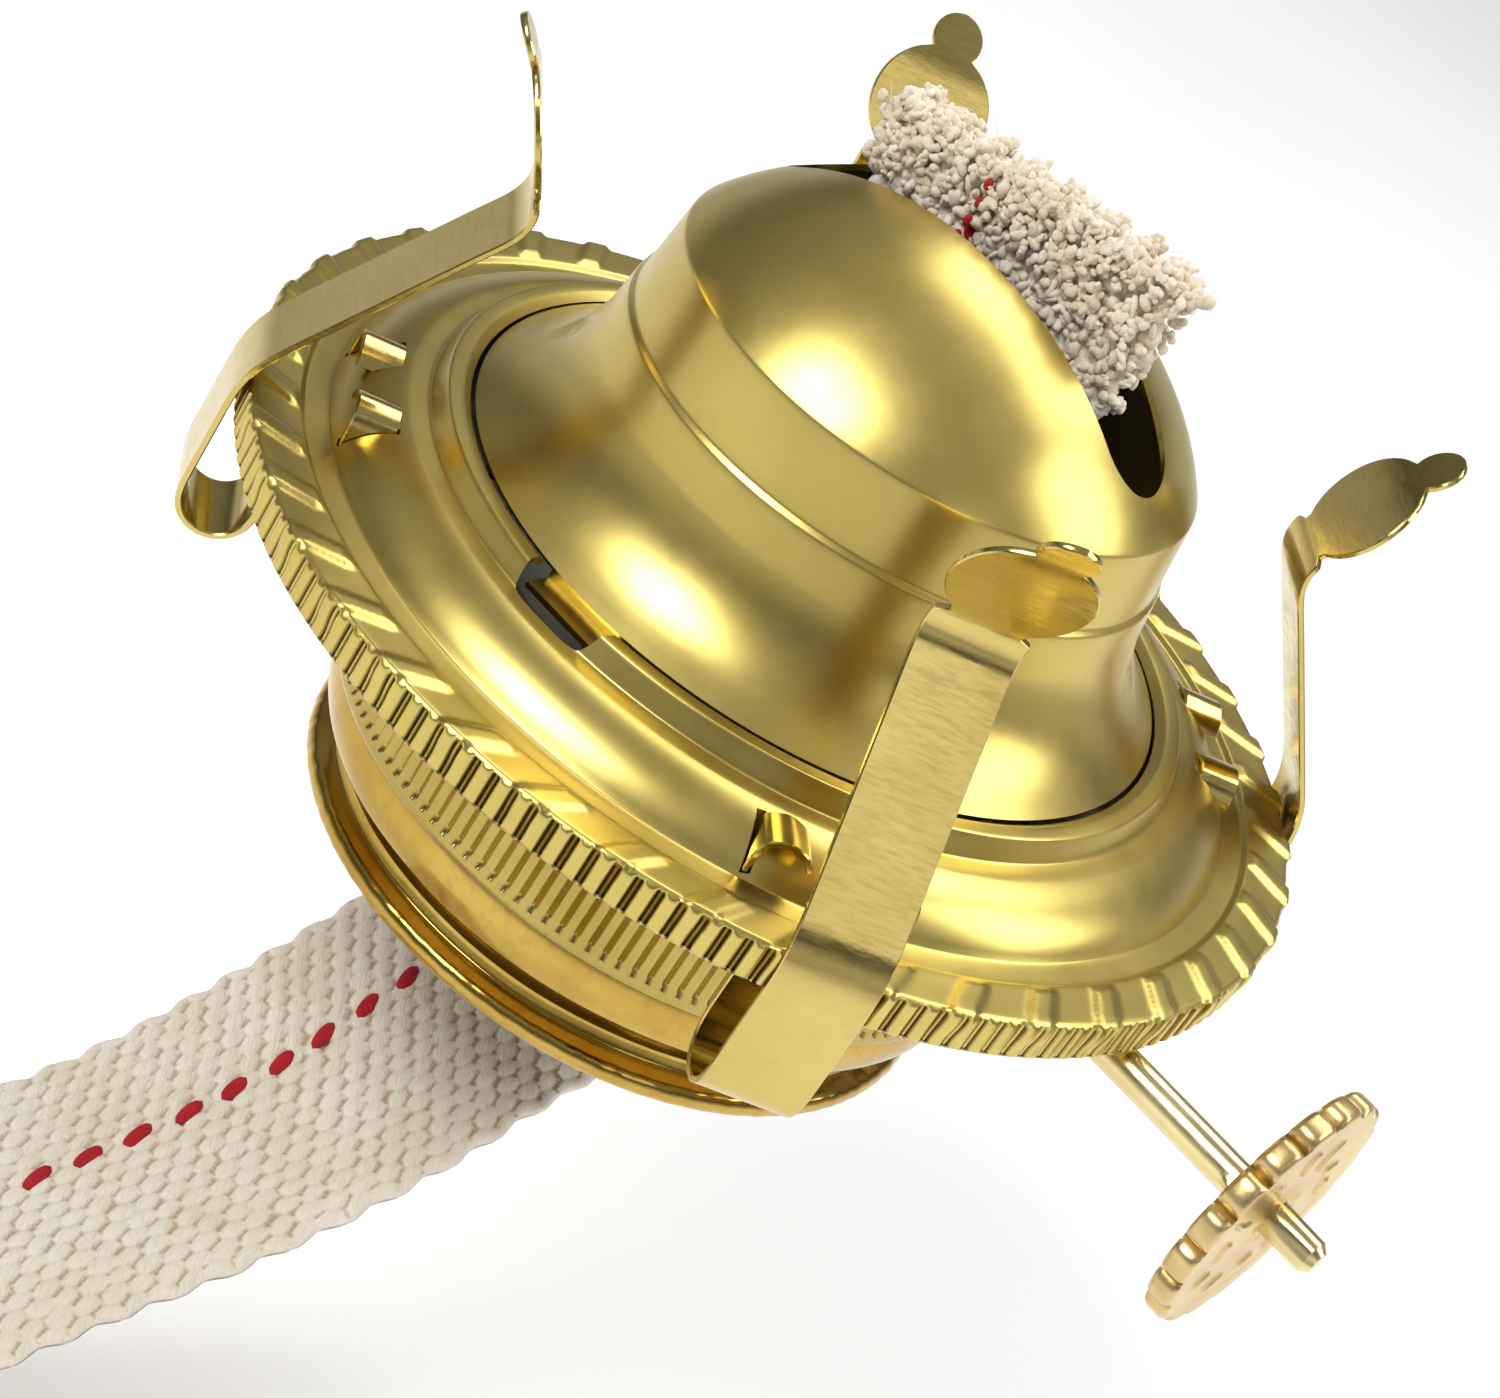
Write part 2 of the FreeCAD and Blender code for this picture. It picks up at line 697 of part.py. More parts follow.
def make_prongs():
    """Four prongs, each a root part under the gallery and a spring arm."""
    for suffix, pattern in (("base", make_prong_base()), ("arm", make_prong_arm())):
        for i, azimuth in enumerate(PRONG_AZIMUTHS):
            piece = document.addObject("Part::Feature", f"prong_{i + 1}_{suffix}_copy")
            piece.Shape = pattern.Shape
            piece.Placement = Placement(Vector(0, 0, 0), Rotation(Vector(0, 0, 1), azimuth))
            finish(piece, f"prong_{i + 1}_{suffix}")


# Wick raiser ------------------------------------------------------------------------------------------------------


def on_shaft(x):
    """The point of the shaft's axis at this x."""
    return Vector(x, -number("shaft_offset"), number("shaft_height"))


def bored(name, base):
    """A piece bored to fit the shaft, from one end of the shaft to the other."""
    bore = rod(name + "_bore", size("shaft_radius") + size("running_gap"), size("shaft_end") - size("shaft_start"),
               on_shaft(number("shaft_start")), Vector(1, 0, 0))
    return cut(name + "_bored", base, [bore])


def make_shaft():
    """The raiser's shaft, which ends in a stub beyond the thumb wheel."""
    shaft = rod("shaft_rod", size("shaft_radius"), size("shaft_end") - size("shaft_start"),
                on_shaft(number("shaft_start")), Vector(1, 0, 0))
    finish(shaft, "shaft")


def make_wheels():
    """Four toothed wheels that bite the wick through the windows of its tube."""
    for i, place in enumerate(WHEEL_PLACES):
        corners = []
        for tooth in range(WHEEL_TEETH):
            for step, radius in ((0.0, size("wheel_tip_radius")), (0.5, size("wheel_root_radius"))):
                angle = 2 * math.pi * (tooth + step) / WHEEL_TEETH
                corners.append((radius * math.cos(angle), radius * math.sin(angle)))
        name = f"wick_wheel_{i + 1}"
        body = new_body(name + "_body")
        sketch = new_sketch(body, "YZ_Plane", name + "_outline")
        draw_loop(sketch, corners)
        draw_circle(sketch, size("shaft_radius") + size("press_gap"))
        pad = body.newObject("PartDesign::Pad", name + "_pad")
        pad.Profile = sketch
        pad.Midplane = True
        pad.setExpression("Length", size("wheel_width").text)
        body.Placement = Placement(on_shaft(place), Rotation())
        document.recompute()
        finish(body, name)


def make_thumb_wheel():
    """The thumb wheel, with scallops round its edge."""
    disc = rod("thumb_disc", size("thumb_radius"), size("thumb_width"), on_shaft(number("thumb_start")), Vector(1, 0, 0))
    tools = [rod("thumb_bore", size("shaft_radius") + size("press_gap"), size("shaft_end"),
                 on_shaft(0.0), Vector(1, 0, 0))]
    for i in range(THUMB_SCALLOPS):
        angle = 2 * math.pi * (i + 0.5) / THUMB_SCALLOPS
        outward = Vector(0, math.cos(angle), math.sin(angle)) * (number("thumb_radius") + 0.4 * number("scallop_radius"))
        tools.append(rod(f"scallop_{i + 1}", size("scallop_radius"), size("thumb_width") + 2 * OVERSHOOT,
                         on_shaft(number("thumb_start") - OVERSHOOT) + outward, Vector(1, 0, 0)))
    finish(cut("thumb_wheel_cut", disc, tools), "thumb_wheel")


def make_bearings():
    """The bush in the shell's wall and the two lugs on the wick tube, which all carry the shaft."""
    bush = rod("bush_blank", size("bush_radius"), size("bush_length"), on_shaft(number("bush_start")), Vector(1, 0, 0))
    finish(bored("bush", bush), "shaft_bush")
    face = size("tube_half_gap") + size("tube_wall")
    for i, side in enumerate((-1.0, 1.0)):
        middle = size("lug_offset") * side
        low = size("shaft_height") - size("lug_height") * 0.5
        plate = block(f"bearing_lug_{i + 1}_plate",
                      (middle - size("lug_thickness") * 0.5, -face - size("lug_depth"), low),
                      (middle + size("lug_thickness") * 0.5, -face, low + size("lug_height")))
        finish(bored(f"bearing_lug_{i + 1}", plate), f"bearing_lug_{i + 1}")


# Tubes and wick -----------------------------------------------------------------------------------------------------


def stadium(half_width, half_depth):
    """A loop with straight sides and rounded ends, for a flat tube."""
    flat = half_width - half_depth
    return [
        (-flat, -half_depth),
        (flat, -half_depth, half_depth * 2 * NEARLY_HALF),
        (flat, half_depth),
        (-flat, half_depth, half_depth * 2 * NEARLY_HALF),
    ]


def make_wick_tube():
    """The flat tube that guides the wick, with a window for each toothed wheel."""
    inner = stadium(size("tube_half_width"), size("tube_half_gap"))
    outer = stadium(size("tube_half_width") + size("tube_wall"), size("tube_half_gap") + size("tube_wall"))
    length = size("tube_top") - size("tube_bottom")
    body = padded("wick_tube_body", "XY_Plane", (outer, inner), length)
    body.Placement = Placement(Vector(0, 0, (number("tube_top") + number("tube_bottom")) / 2), Rotation())
    tools = []
    half = size("wheel_width") * 0.5 + size("ear_clearance")
    for i, place in enumerate(WHEEL_PLACES):
        tools.append(block(f"wheel_window_{i + 1}",
                           (as_size(place) - half, -size("shaft_offset"), size("shaft_height") - size("wheel_tip_radius")),
                           (as_size(place) + half, 0, size("shaft_height") + size("wheel_tip_radius"))))
    finish(cut("wick_tube_cut", body, tools), "wick_tube")


def make_vent_tube():
    """The thin round tube beside the wick that vents the fuel reservoir."""
    outer = rod("vent_outside", size("vent_radius"), size("vent_top") - size("vent_bottom"),
                Vector(0, number("vent_offset"), number("vent_bottom")))
    inner = rod("vent_inside", size("vent_radius") - size("vent_wall"), size("vent_top"),
                Vector(0, number("vent_offset"), 0))
    finish(cut("vent_tube_cut", outer, [inner]), "vent_tube")


def make_wick_upper():
    """The straight part of the wick, cut at a slant along the top."""
    left = size("wick_shift") - size("wick_width") * 0.5
    right = size("wick_shift") + size("wick_width") * 0.5
    body = padded("wick_upper_body", "XZ_Plane", ([
        (left, size("wick_split")),
        (right, size("wick_split")),
        (right, size("wick_high_corner")),
        (left, size("wick_low_corner")),
    ],), size("wick_thickness"))
    finish(body, "wick_upper")


def tail_stations():
    """Places down the tail, each a centre, the way's direction and the width's direction."""
    bend = number("tail_bend_radius")
    slope = math.radians(number("tail_slope"))
    turn = math.pi / 2 - slope
    cut_back = bend * math.tan(turn / 2)
    bend_start = number("tail_corner_height") + cut_back
    places = [(0.0, number("wick_split"), 0.0), (0.0, 0.0, 0.0), (0.0, bend_start, 0.0)]
    for i in range(1, TAIL_BEND_STEPS + 1):
        angle = turn * i / TAIL_BEND_STEPS
        places.append((bend * (math.cos(angle) - 1), bend_start - bend * math.sin(angle), i / TAIL_BEND_STEPS))
    stations = []
    for forward, height, share in places:
        angle = turn * share
        drift = number("tail_drift") * min(height, 0.0) / places[-1][1]
        centre = Vector(number("wick_shift") + drift, forward, height)
        stations.append((centre, Vector(0, -math.sin(angle), -math.cos(angle)), number("tail_roll") * share))
    centre = stations[-1][0]
    for i in range(1, TAIL_RUN_STEPS + 1):
        veer = Rotation(Vector(0, 0, 1), -number("tail_veer") * min(1.0, (i - 1) / TAIL_VEER_STEPS))
        way = veer.multVec(Vector(0, -math.cos(slope), -math.sin(slope)))
        centre = centre + way * (number("tail_run") / TAIL_RUN_STEPS)
        stations.append((centre, way, number("tail_roll")))
    return stations


def make_wick_tail():
    """The rest of the wick, which hangs out of the throat, bends once and runs down beside the burner."""
    half_width = number("wick_width") / 2
    half_depth = number("wick_thickness") / 2
    sections = []
    for centre, way, roll in tail_stations():
        level = Vector(-way.y, way.x, 0)
        across = level.normalize() if level.Length > 1e-6 else Vector(1, 0, 0)
        across = Rotation(way, -roll).multVec(across)
        through = way.cross(across).normalize()
        corners = [
            centre + across * half_width * u + through * half_depth * v
            for u, v in ((-1, -1), (1, -1), (1, 1), (-1, 1))
        ]
        sections.append(Part.makePolygon(corners + corners[:1]))
    tail = document.addObject("Part::Feature", "wick_tail_strip")
    tail.Shape = Part.makeLoft(sections, True, True)
    tail.Placement = Placement()
    finish(tail, "wick_tail")


make_collar()
make_screw_shell()
make_drip_plate()
make_body_shell()
make_gallery()
make_air_plate()
make_dome()
make_prongs()
make_shaft()
make_wheels()
make_thumb_wheel()
make_bearings()
make_wick_tube()
make_vent_tube()
make_wick_upper()
make_wick_tail()
document.recompute()

failed = [thing.Name for thing in document.Objects if {"Invalid", "Error"} & set(thing.State)]
if failed:
    raise RuntimeError(f"these did not compute: {failed}")
for piece in subparts:
    if piece.Shape.isNull() or not piece.Shape.isValid() or not piece.Shape.Solids:
        raise RuntimeError(f"{piece.Label} is not a valid solid")

os.makedirs("parts", exist_ok=True)
for piece in subparts:
    piece.Shape.exportStep(f"parts/{piece.Label}.step")
    box = piece.Shape.optimalBoundingBox()
    print(f"{piece.Label:16s} {len(piece.Shape.Solids)} solid {piece.Shape.Volume:9.2f} mm3  "
          f"x {box.XMin:6.1f}..{box.XMax:5.1f}  y {box.YMin:6.1f}..{box.YMax:5.1f}  z {box.ZMin:6.1f}..{box.ZMax:5.1f}")
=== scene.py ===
"""Looks of the flat-wick oil-lamp burner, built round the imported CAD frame.

Shapes are worked out in millimetres in the CAD's frame, and every mesh is stored in metres.
"""
import math

import bpy
import numpy as np
from mathutils import Matrix, Vector


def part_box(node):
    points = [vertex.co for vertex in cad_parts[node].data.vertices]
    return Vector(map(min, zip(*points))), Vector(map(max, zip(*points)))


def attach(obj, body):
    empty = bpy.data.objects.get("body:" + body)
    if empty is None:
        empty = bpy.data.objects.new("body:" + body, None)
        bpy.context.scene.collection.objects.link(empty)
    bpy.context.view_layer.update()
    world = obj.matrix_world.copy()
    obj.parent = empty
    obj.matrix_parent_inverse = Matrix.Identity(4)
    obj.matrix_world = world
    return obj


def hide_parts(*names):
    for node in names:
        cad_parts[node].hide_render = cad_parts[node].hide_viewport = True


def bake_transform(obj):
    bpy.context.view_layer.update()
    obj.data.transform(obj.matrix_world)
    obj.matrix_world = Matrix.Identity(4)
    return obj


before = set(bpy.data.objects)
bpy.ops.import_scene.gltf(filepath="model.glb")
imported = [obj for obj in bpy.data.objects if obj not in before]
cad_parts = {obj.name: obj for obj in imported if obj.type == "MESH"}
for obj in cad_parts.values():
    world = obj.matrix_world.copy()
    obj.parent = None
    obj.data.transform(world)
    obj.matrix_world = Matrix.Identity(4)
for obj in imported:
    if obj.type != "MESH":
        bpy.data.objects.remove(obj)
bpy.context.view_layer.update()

MM = 0.001
TAU = 2 * math.pi

PRONG_AZIMUTHS = (45.0, 135.0, 225.0, 315.0)
LUG_AZIMUTHS = (90.0, 270.0)

REEDS = 168  # pairs of grooves round the gallery's rim
GROOVE_OFFSET = 0.14  # from a pair's middle to each of its grooves, as a share of the pitch
RIM_WALL = (42.7, 42.9)  # radii between which the grooved wall begins
RIM_SHOULDER = (28.0, 28.3)  # heights between which it ends


def cad_box(node):
    """The low and the high corner of a CAD node's box, in millimetres."""
    return np.array(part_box(node)) / MM


# ---------------- numbers
def smoothstep(low, high, x):
    t = np.clip((x - low) / (high - low), 0.0, 1.0)
    return t * t * (3 - 2 * t)


def wave_noise(points, scale, seed):
    """Soft noise from about -1 to 1 at points, from sums of waves in random directions."""
    octaves, waves, finer, fainter, gain = 2, 5, 1.9, 0.6, 1.6
    own = np.random.default_rng(seed)
    total = np.zeros(len(points))
    weight = 0.0
    for octave in range(octaves):
        size = scale / finer ** octave
        part = np.zeros(len(points))
        for _ in range(waves):
            way = own.normal(size=3)
            way /= np.linalg.norm(way)
            part += np.sin(points @ way * (TAU / size) + own.uniform(0, TAU))
        total += part / waves * fainter ** octave
        weight += fainter ** octave
    return total / weight * gain


def distances(line):
    """The distance along a line to each of its points."""
    return np.concatenate([[0], np.cumsum(np.linalg.norm(np.diff(line, axis=0), axis=1))])


# ---------------- meshes
def signed_volume(points, quads):
    a, b, c, d = (points[quads[:, i]] for i in range(4))
    halves = np.einsum("ij,ij->i", a, np.cross(b, c)) + np.einsum("ij,ij->i", a, np.cross(c, d))
    return halves.sum() / 6


def grid_faces(rows, columns, wrap_rows=False):
    """Quads of a grid of points, numbered row by row. Each row is a closed ring."""
    i = np.arange(rows if wrap_rows else rows - 1)
    i, j = (x.ravel() for x in np.meshgrid(i, np.arange(columns), indexing="ij"))
    row, next_row = i * columns, (i + 1) % rows * columns
    next_j = (j + 1) % columns
    return np.stack([row + j, row + next_j, next_row + next_j, next_row + j], 1)


def closed_grid(grid):
    """Points and faces of a tube given ring by ring, each end closed by a fan of triangles, [a, b, c, c]."""
    rings, count = grid.shape[:2]
    points = np.concatenate([grid.reshape(-1, 3), [grid[0].mean(0)], [grid[-1].mean(0)]])
    here = np.arange(count)
    ahead = (here + 1) % count
    last = (rings - 1) * count
    first_hub, last_hub = (np.full(count, rings * count + k) for k in (0, 1))
    first_fan = np.stack([ahead, here, first_hub, first_hub], 1)
    last_fan = np.stack([here + last, ahead + last, last_hub, last_hub], 1)
    return points, np.concatenate([grid_faces(rings, count), first_fan, last_fan])


def outward(points, faces):
    """The faces, turned to look out of the closed shape."""
    if signed_volume(points, faces) >= 0:
        return faces
    flipped = faces[:, ::-1].copy()
    fans = faces[:, 2] == faces[:, 3]
    flipped[fans] = faces[fans][:, [1, 0, 2, 2]]
    return flipped


def linked(name, data):
    """A new object in the scene."""
    thing = bpy.data.objects.new(name, data)
    bpy.context.scene.collection.objects.link(thing)
    return thing


def make_object(name, points, faces, material=None, sharp=35.0):
    """An object from points in millimetres and faces, with its faces turned outwards.

    Edges sharper than sharp, in degrees, aren't smoothed."""
    points = np.asarray(points, float)
    polygons = [f[:3] if f[2] == f[3] else f for f in outward(points, np.asarray(faces)).tolist()]
    mesh = bpy.data.meshes.new(name)
    mesh.from_pydata((points * MM).tolist(), [], polygons)
    thing = linked(name, mesh)
    shade(thing, sharp)
    if material:
        mesh.materials.append(material)
    return thing


def shade(thing, sharp):
    mesh = thing.data
    mesh.polygons.foreach_set("use_smooth", [True] * len(mesh.polygons))
    mesh.set_sharp_from_angle(angle=math.radians(sharp))
    mesh.update()


def joined(name, shapes, material=None, sharp=35.0):
    """One object from several closed (points, faces) shapes, each turned outwards by itself."""
    points, faces, start = [], [], 0
    for part_points, part_faces in shapes:
        part_points = np.asarray(part_points, float)
        points.append(part_points)
        faces.append(outward(part_points, np.asarray(part_faces)) + start)
        start += len(part_points)
    return make_object(name, np.concatenate(points), np.concatenate(faces), material, sharp)


def carve(thing, tools, sharp):
    """Cuts closed (points, faces) tools out of a closed mesh."""
    tool = joined("carving_tool", tools)
    modifier = thing.modifiers.new("carve", "BOOLEAN")
    modifier.operation = "DIFFERENCE"
    modifier.solver = "EXACT"
    modifier.object = tool
    evaluated = thing.evaluated_get(bpy.context.evaluated_depsgraph_get())
    mesh = bpy.data.meshes.new_from_object(evaluated)
    mesh.name = thing.name
    thing.modifiers.clear()
    thing.data = mesh
    bpy.data.objects.remove(tool)
    shade(thing, sharp)


def turned_about_z(points, azimuth):
    c, s = math.cos(math.radians(azimuth)), math.sin(math.radians(azimuth))
    x, y, z = points[:, 0], points[:, 1], points[:, 2]
    return np.stack([x * c - y * s, x * s + y * c, z], 1)


def prism(outline, bottom, top):
    """A closed upright prism with the given (x, y) outline, capped by fans of triangles."""
    rings = [np.column_stack([outline, np.full(len(outline), z)]) for z in (bottom, top)]
    return closed_grid(np.stack(rings))


def block(low, high, azimuth):
    """A box from its low to its high corner, turned about Z."""
    x0, y0, z0 = low
    x1, y1, z1 = high
    corners = ((x0, y0), (x1, y0), (x1, y1), (x0, y1))
    points = np.array([(x, y, z) for z in (z0, z1) for x, y in corners], float)
    faces = np.array([(0, 3, 2, 1), (4, 5, 6, 7), (0, 1, 5, 4), (1, 2, 6, 5), (2, 3, 7, 6), (3, 0, 4, 7)])
    return turned_about_z(points, azimuth), faces


def rod(radius, start, end, count=40):
    """A closed rod between two points."""
    start, end = np.asarray(start, float), np.asarray(end, float)
    way = (end - start) / np.linalg.norm(end - start)
    side = np.cross(way, (0, 0, 1) if abs(way[2]) < 0.9 else (1, 0, 0))
    side /= np.linalg.norm(side)
    other = np.cross(way, side)
    angle = np.arange(count) * TAU / count
    ring = np.outer(np.cos(angle), side) + np.outer(np.sin(angle), other)
    return closed_grid(np.stack([start + ring * radius, end + ring * radius]))


# ---------------- profiles
def arc(start, end, radius):
    """Points from start to end on an arc that bulges to the right, or left for a negative radius."""
    start, end = np.array(start, float), np.array(end, float)
    chord = end - start
    length = np.hypot(*chord)
    half = math.asin(min(1.0, length / 2 / abs(radius)))
    sign = math.copysign(1.0, radius)
    right = np.array([chord[1], -chord[0]]) / length
    centre = (start + end) / 2 - right * sign * abs(radius) * math.cos(half)
    begin = math.atan2(start[1] - centre[1], start[0] - centre[0])
    steps = max(4, int(2 * half * abs(radius) / 0.15))
    angle = begin + sign * 2 * half * np.linspace(0, 1, steps + 1)
    return centre + abs(radius) * np.stack([np.cos(angle), np.sin(angle)], 1)


def smooth_path(corners, soften, longest, turn, step=0.06):
    """A path through corners (u, v, optional bulge radius to the next), its bends softened.

    Points are at most longest apart, and closer where the path turns more than turn degrees. Gives the
    points and their normals to the left."""
    pieces = []
    for here, there in zip(corners, corners[1:]):
        if len(here) > 2 and here[2]:
            pieces.append(arc(here[:2], there[:2], here[2])[:-1])
        else:
            pieces.append(np.array([here[:2]], float))
    line = np.concatenate(pieces + [np.array([corners[-1][:2]], float)])
    along = distances(line)
    count = max(8, int(along[-1] / step))
    even = np.linspace(0, along[-1], count)
    dense = np.stack([np.interp(even, along, line[:, k]) for k in range(2)], 1)
    reach = max(1, int(3 * soften / step))
    kernel = np.exp(-0.5 * (np.arange(-reach, reach + 1) * step / max(soften, 1e-6)) ** 2)
    kernel /= kernel.sum()
    before = 2 * dense[0] - dense[1:reach + 1][::-1]
    after = 2 * dense[-1] - dense[-reach - 1:-1][::-1]
    padded = np.concatenate([before, dense, after])
    dense = np.stack([np.convolve(padded[:, k], kernel, "valid") for k in range(2)], 1)
    way = np.gradient(dense, axis=0)
    way /= np.linalg.norm(way, axis=1)[:, None]
    heading = np.unwrap(np.arctan2(way[:, 1], way[:, 0]))
    keep, last, walked = [0], 0, 0.0
    for i in range(1, count - 1):
        walked += np.hypot(*(dense[i] - dense[i - 1]))
        if abs(heading[i] - heading[last]) > math.radians(turn) or walked > longest:
            keep.append(i)
            last, walked = i, 0.0
    keep.append(count - 1)
    normal = np.stack([-way[:, 1], way[:, 0]], 1)
    return dense[keep], normal[keep]


def meeting(a, b, c, d):
    """Where the piece of line from a to b crosses the one from c to d, or None."""
    r, s = b - a, d - c
    across = r[0] * s[1] - r[1] * s[0]
    if abs(across) < 1e-12:
        return None
    t = ((c - a)[0] * s[1] - (c - a)[1] * s[0]) / across
    u = ((c - a)[0] * r[1] - (c - a)[1] * r[0]) / across
    return a + t * r if 0 <= t <= 1 and 0 <= u <= 1 else None


def without_loops(line):
    """The line with each small loop, where it crosses itself, cut off at the crossing."""
    i = 0
    while i < len(line) - 3:
        for j in range(len(line) - 2, i + 1, -1):
            cross = meeting(line[i], line[i + 1], line[j], line[j + 1])
            if cross is not None:
                line = np.concatenate([line[:i + 1], [cross], line[j + 1:]])
                break
        i += 1
    return line


def sheet_loop(corners, wall, soften, longest, turn):
    """The closed outline of bent sheet metal, without the loops that an offset makes inside a tight bend."""
    outer, normal = smooth_path(corners, soften, longest, turn)
    inner = without_loops(outer + normal * wall)
    ahead = outer[-1] - outer[-2]
    behind = outer[0] - outer[1]
    end = (outer[-1] + inner[-1]) / 2 + ahead / np.linalg.norm(ahead) * wall * 0.25
    start = (outer[0] + inner[0]) / 2 + behind / np.linalg.norm(behind) * wall * 0.25
    return np.concatenate([outer, [end], inner[::-1], [start]])


def turned(profile, segments, warp):
    """Points and faces of a closed (r, z) outline turned about Z. warp(theta, r, z) changes r and z."""
    theta = np.arange(segments)[:, None] * TAU / segments
    r, z = (np.broadcast_to(profile[:, k], (segments, len(profile))) for k in (0, 1))
    r, z = warp(theta, r, z)
    points = np.stack([r * np.cos(theta), r * np.sin(theta), z], 2).reshape(-1, 3)
    return points, grid_faces(segments, len(profile), wrap_rows=True)


def revolved(name, loop, segments, material, warp, sharp=35.0):
    return make_object(name, *turned(loop, segments, warp), material, sharp)


# ---------------- materials
class Nodes:
    """A procedural material that is built node by node. Its noise scales are waves in a metre."""

    def __init__(self, name):
        self.material = bpy.data.materials.new(name)
        self.material.use_nodes = True
        self.tree = self.material.node_tree
        self.shader = self.tree.nodes["Principled BSDF"]
        self.place = self.add("ShaderNodeTexCoord", {}).outputs["Object"]

    def feed(self, socket, value):
        """Gives an input socket another node's output, a colour, or a number or vector."""
        if isinstance(value, bpy.types.NodeSocket):
            self.tree.links.new(value, socket)
        elif socket.type == "RGBA":
            socket.default_value = (*value, 1.0)
        else:
            socket.default_value = value

    def add(self, kind, sockets, **settings):
        node = self.tree.nodes.new(kind)
        for key, value in settings.items():
            setattr(node, key, value)
        for key, value in sockets.items():
            self.feed(node.inputs[key], value)
        return node

    def attribute(self, name):
        return self.add("ShaderNodeAttribute", {}, attribute_name=name)

    def mapped(self, source=None, **values):
        """Coordinates after a Mapping node with the given Scale or Rotation."""
        return self.add("ShaderNodeMapping", {"Vector": source or self.place, **values}).outputs["Vector"]

    def noise(self, scale, detail, rough, source=None, distortion=0.0):
        sockets = {"Vector": source or self.place, "Scale": scale, "Detail": detail, "Roughness": rough,
                   "Distortion": distortion}
        return self.add("ShaderNodeTexNoise", sockets).outputs["Fac"]

    def ramp(self, value, stops):
        """A colour that goes from the first to the second (position, colour)."""
        node = self.add("ShaderNodeValToRGB", {"Fac": value})
        for element, (position, colour) in zip(node.color_ramp.elements, stops):
            element.position = position
            element.color = (*colour, 1.0)
        return node.outputs["Color"]

    def spread(self, value, low, high, low_in, high_in):
        """Turns low_in to high_in into low to high, and holds the value beyond them."""
        sockets = {"Value": value, "From Min": low_in, "From Max": high_in, "To Min": low, "To Max": high}
        return self.add("ShaderNodeMapRange", sockets).outputs["Result"]

    def mixed(self, factor, a, b):
        colour_sockets = {0: factor, 6: a, 7: b}
        return self.add("ShaderNodeMix", colour_sockets, data_type="RGBA").outputs[2]

    def math(self, operation, *values):
        return self.add("ShaderNodeMath", dict(enumerate(values)), operation=operation).outputs[0]

    def bump(self, height, distance, normal=None):
        """Bump of a height from 0 to 1, distance in millimetres."""
        sockets = {"Height": height, "Distance": distance * MM}
        if normal:
            sockets["Normal"] = normal
        return self.add("ShaderNodeBump", sockets).outputs["Normal"]

    def set(self, **values):
        """Sets the shader's sockets and gives the finished material."""
        for key, value in values.items():
            self.feed(self.shader.inputs[key.replace("_", " ")], value)
        return self.material


# dark brown painted into the rim's grooves as shade
PAINTED_GROOVE_SHADE = (0.07, 0.05, 0.015)


def painted_shade_in_grooves(n):
    """Strength of the painted shade in the rim's double grooves, from 0 to 1, worked out from the place on
    the piece.
    """
    x, y, z = n.add("ShaderNodeSeparateXYZ", {"Vector": n.place}).outputs
    share = n.math("FRACT", n.math("MULTIPLY", n.math("ARCTAN2", y, x), REEDS / TAU))
    from_pair = n.math("ABSOLUTE", n.math("SUBTRACT", share, 0.5))
    from_groove = n.math("ABSOLUTE", n.math("SUBTRACT", from_pair, GROOVE_OFFSET))
    radius = n.math("SQRT", n.math("ADD", n.math("MULTIPLY", x, x), n.math("MULTIPLY", y, y)))
    beyond = n.spread(radius, 0.0, 1.0, RIM_WALL[0] * MM, RIM_WALL[1] * MM)
    below = n.spread(z, 1.0, 0.0, RIM_SHOULDER[0] * MM, RIM_SHOULDER[1] * MM)
    return n.math("MULTIPLY", n.spread(from_groove, 0.9, 0.0, 0.03, 0.10), n.math("MULTIPLY", beyond, below))


def metal(name, light, dark, roughness, peel, peel_size=0.45, brush=None, brush_depth=0.0, stain=0.35,
          paint_groove_shade=False):
    """Metal with a fine grain, soft tarnish, and brushing where brush gives the stretch of its scratches; on
    the reeded rim, painted shade darkens its grooves.
    """
    n = Nodes(name)
    clouds = n.noise(90.0, 4.0, 0.6)
    colour = n.ramp(clouds, [(0.30, dark), (0.62, light)])
    specks = n.noise(900.0, 2.0, 0.6)
    colour = n.mixed(n.spread(specks, 0.0, stain, 0.55, 0.80), colour, dark)
    if paint_groove_shade:
        # painted shade: the rim's grooves are mixed towards a dark brown
        colour = n.mixed(painted_shade_in_grooves(n), colour, PAINTED_GROOVE_SHADE)
    rough = n.spread(n.noise(260.0, 3.0, 0.6), roughness * 0.93, roughness * 1.08, 0.3, 0.7)
    normal = n.bump(n.noise(1000.0 / peel_size, 2.0, 0.5), peel)
    if brush:
        lines = n.noise(1.0, 3.0, 0.65, n.mapped(Scale=brush))
        normal = n.bump(lines, brush_depth, normal)
        rough = n.math("ADD", rough, n.spread(lines, -0.04, 0.08, 0.35, 0.65))
    return n.set(Base_Color=colour, Metallic=1.0, Roughness=rough, Normal=normal)


SATIN_LIGHT, SATIN_DARK = (0.62, 0.495, 0.145), (0.56, 0.435, 0.115)
SATIN = metal("satin_brass_look", SATIN_LIGHT, SATIN_DARK, 0.30, 0.004, peel_size=0.7, stain=0.0)
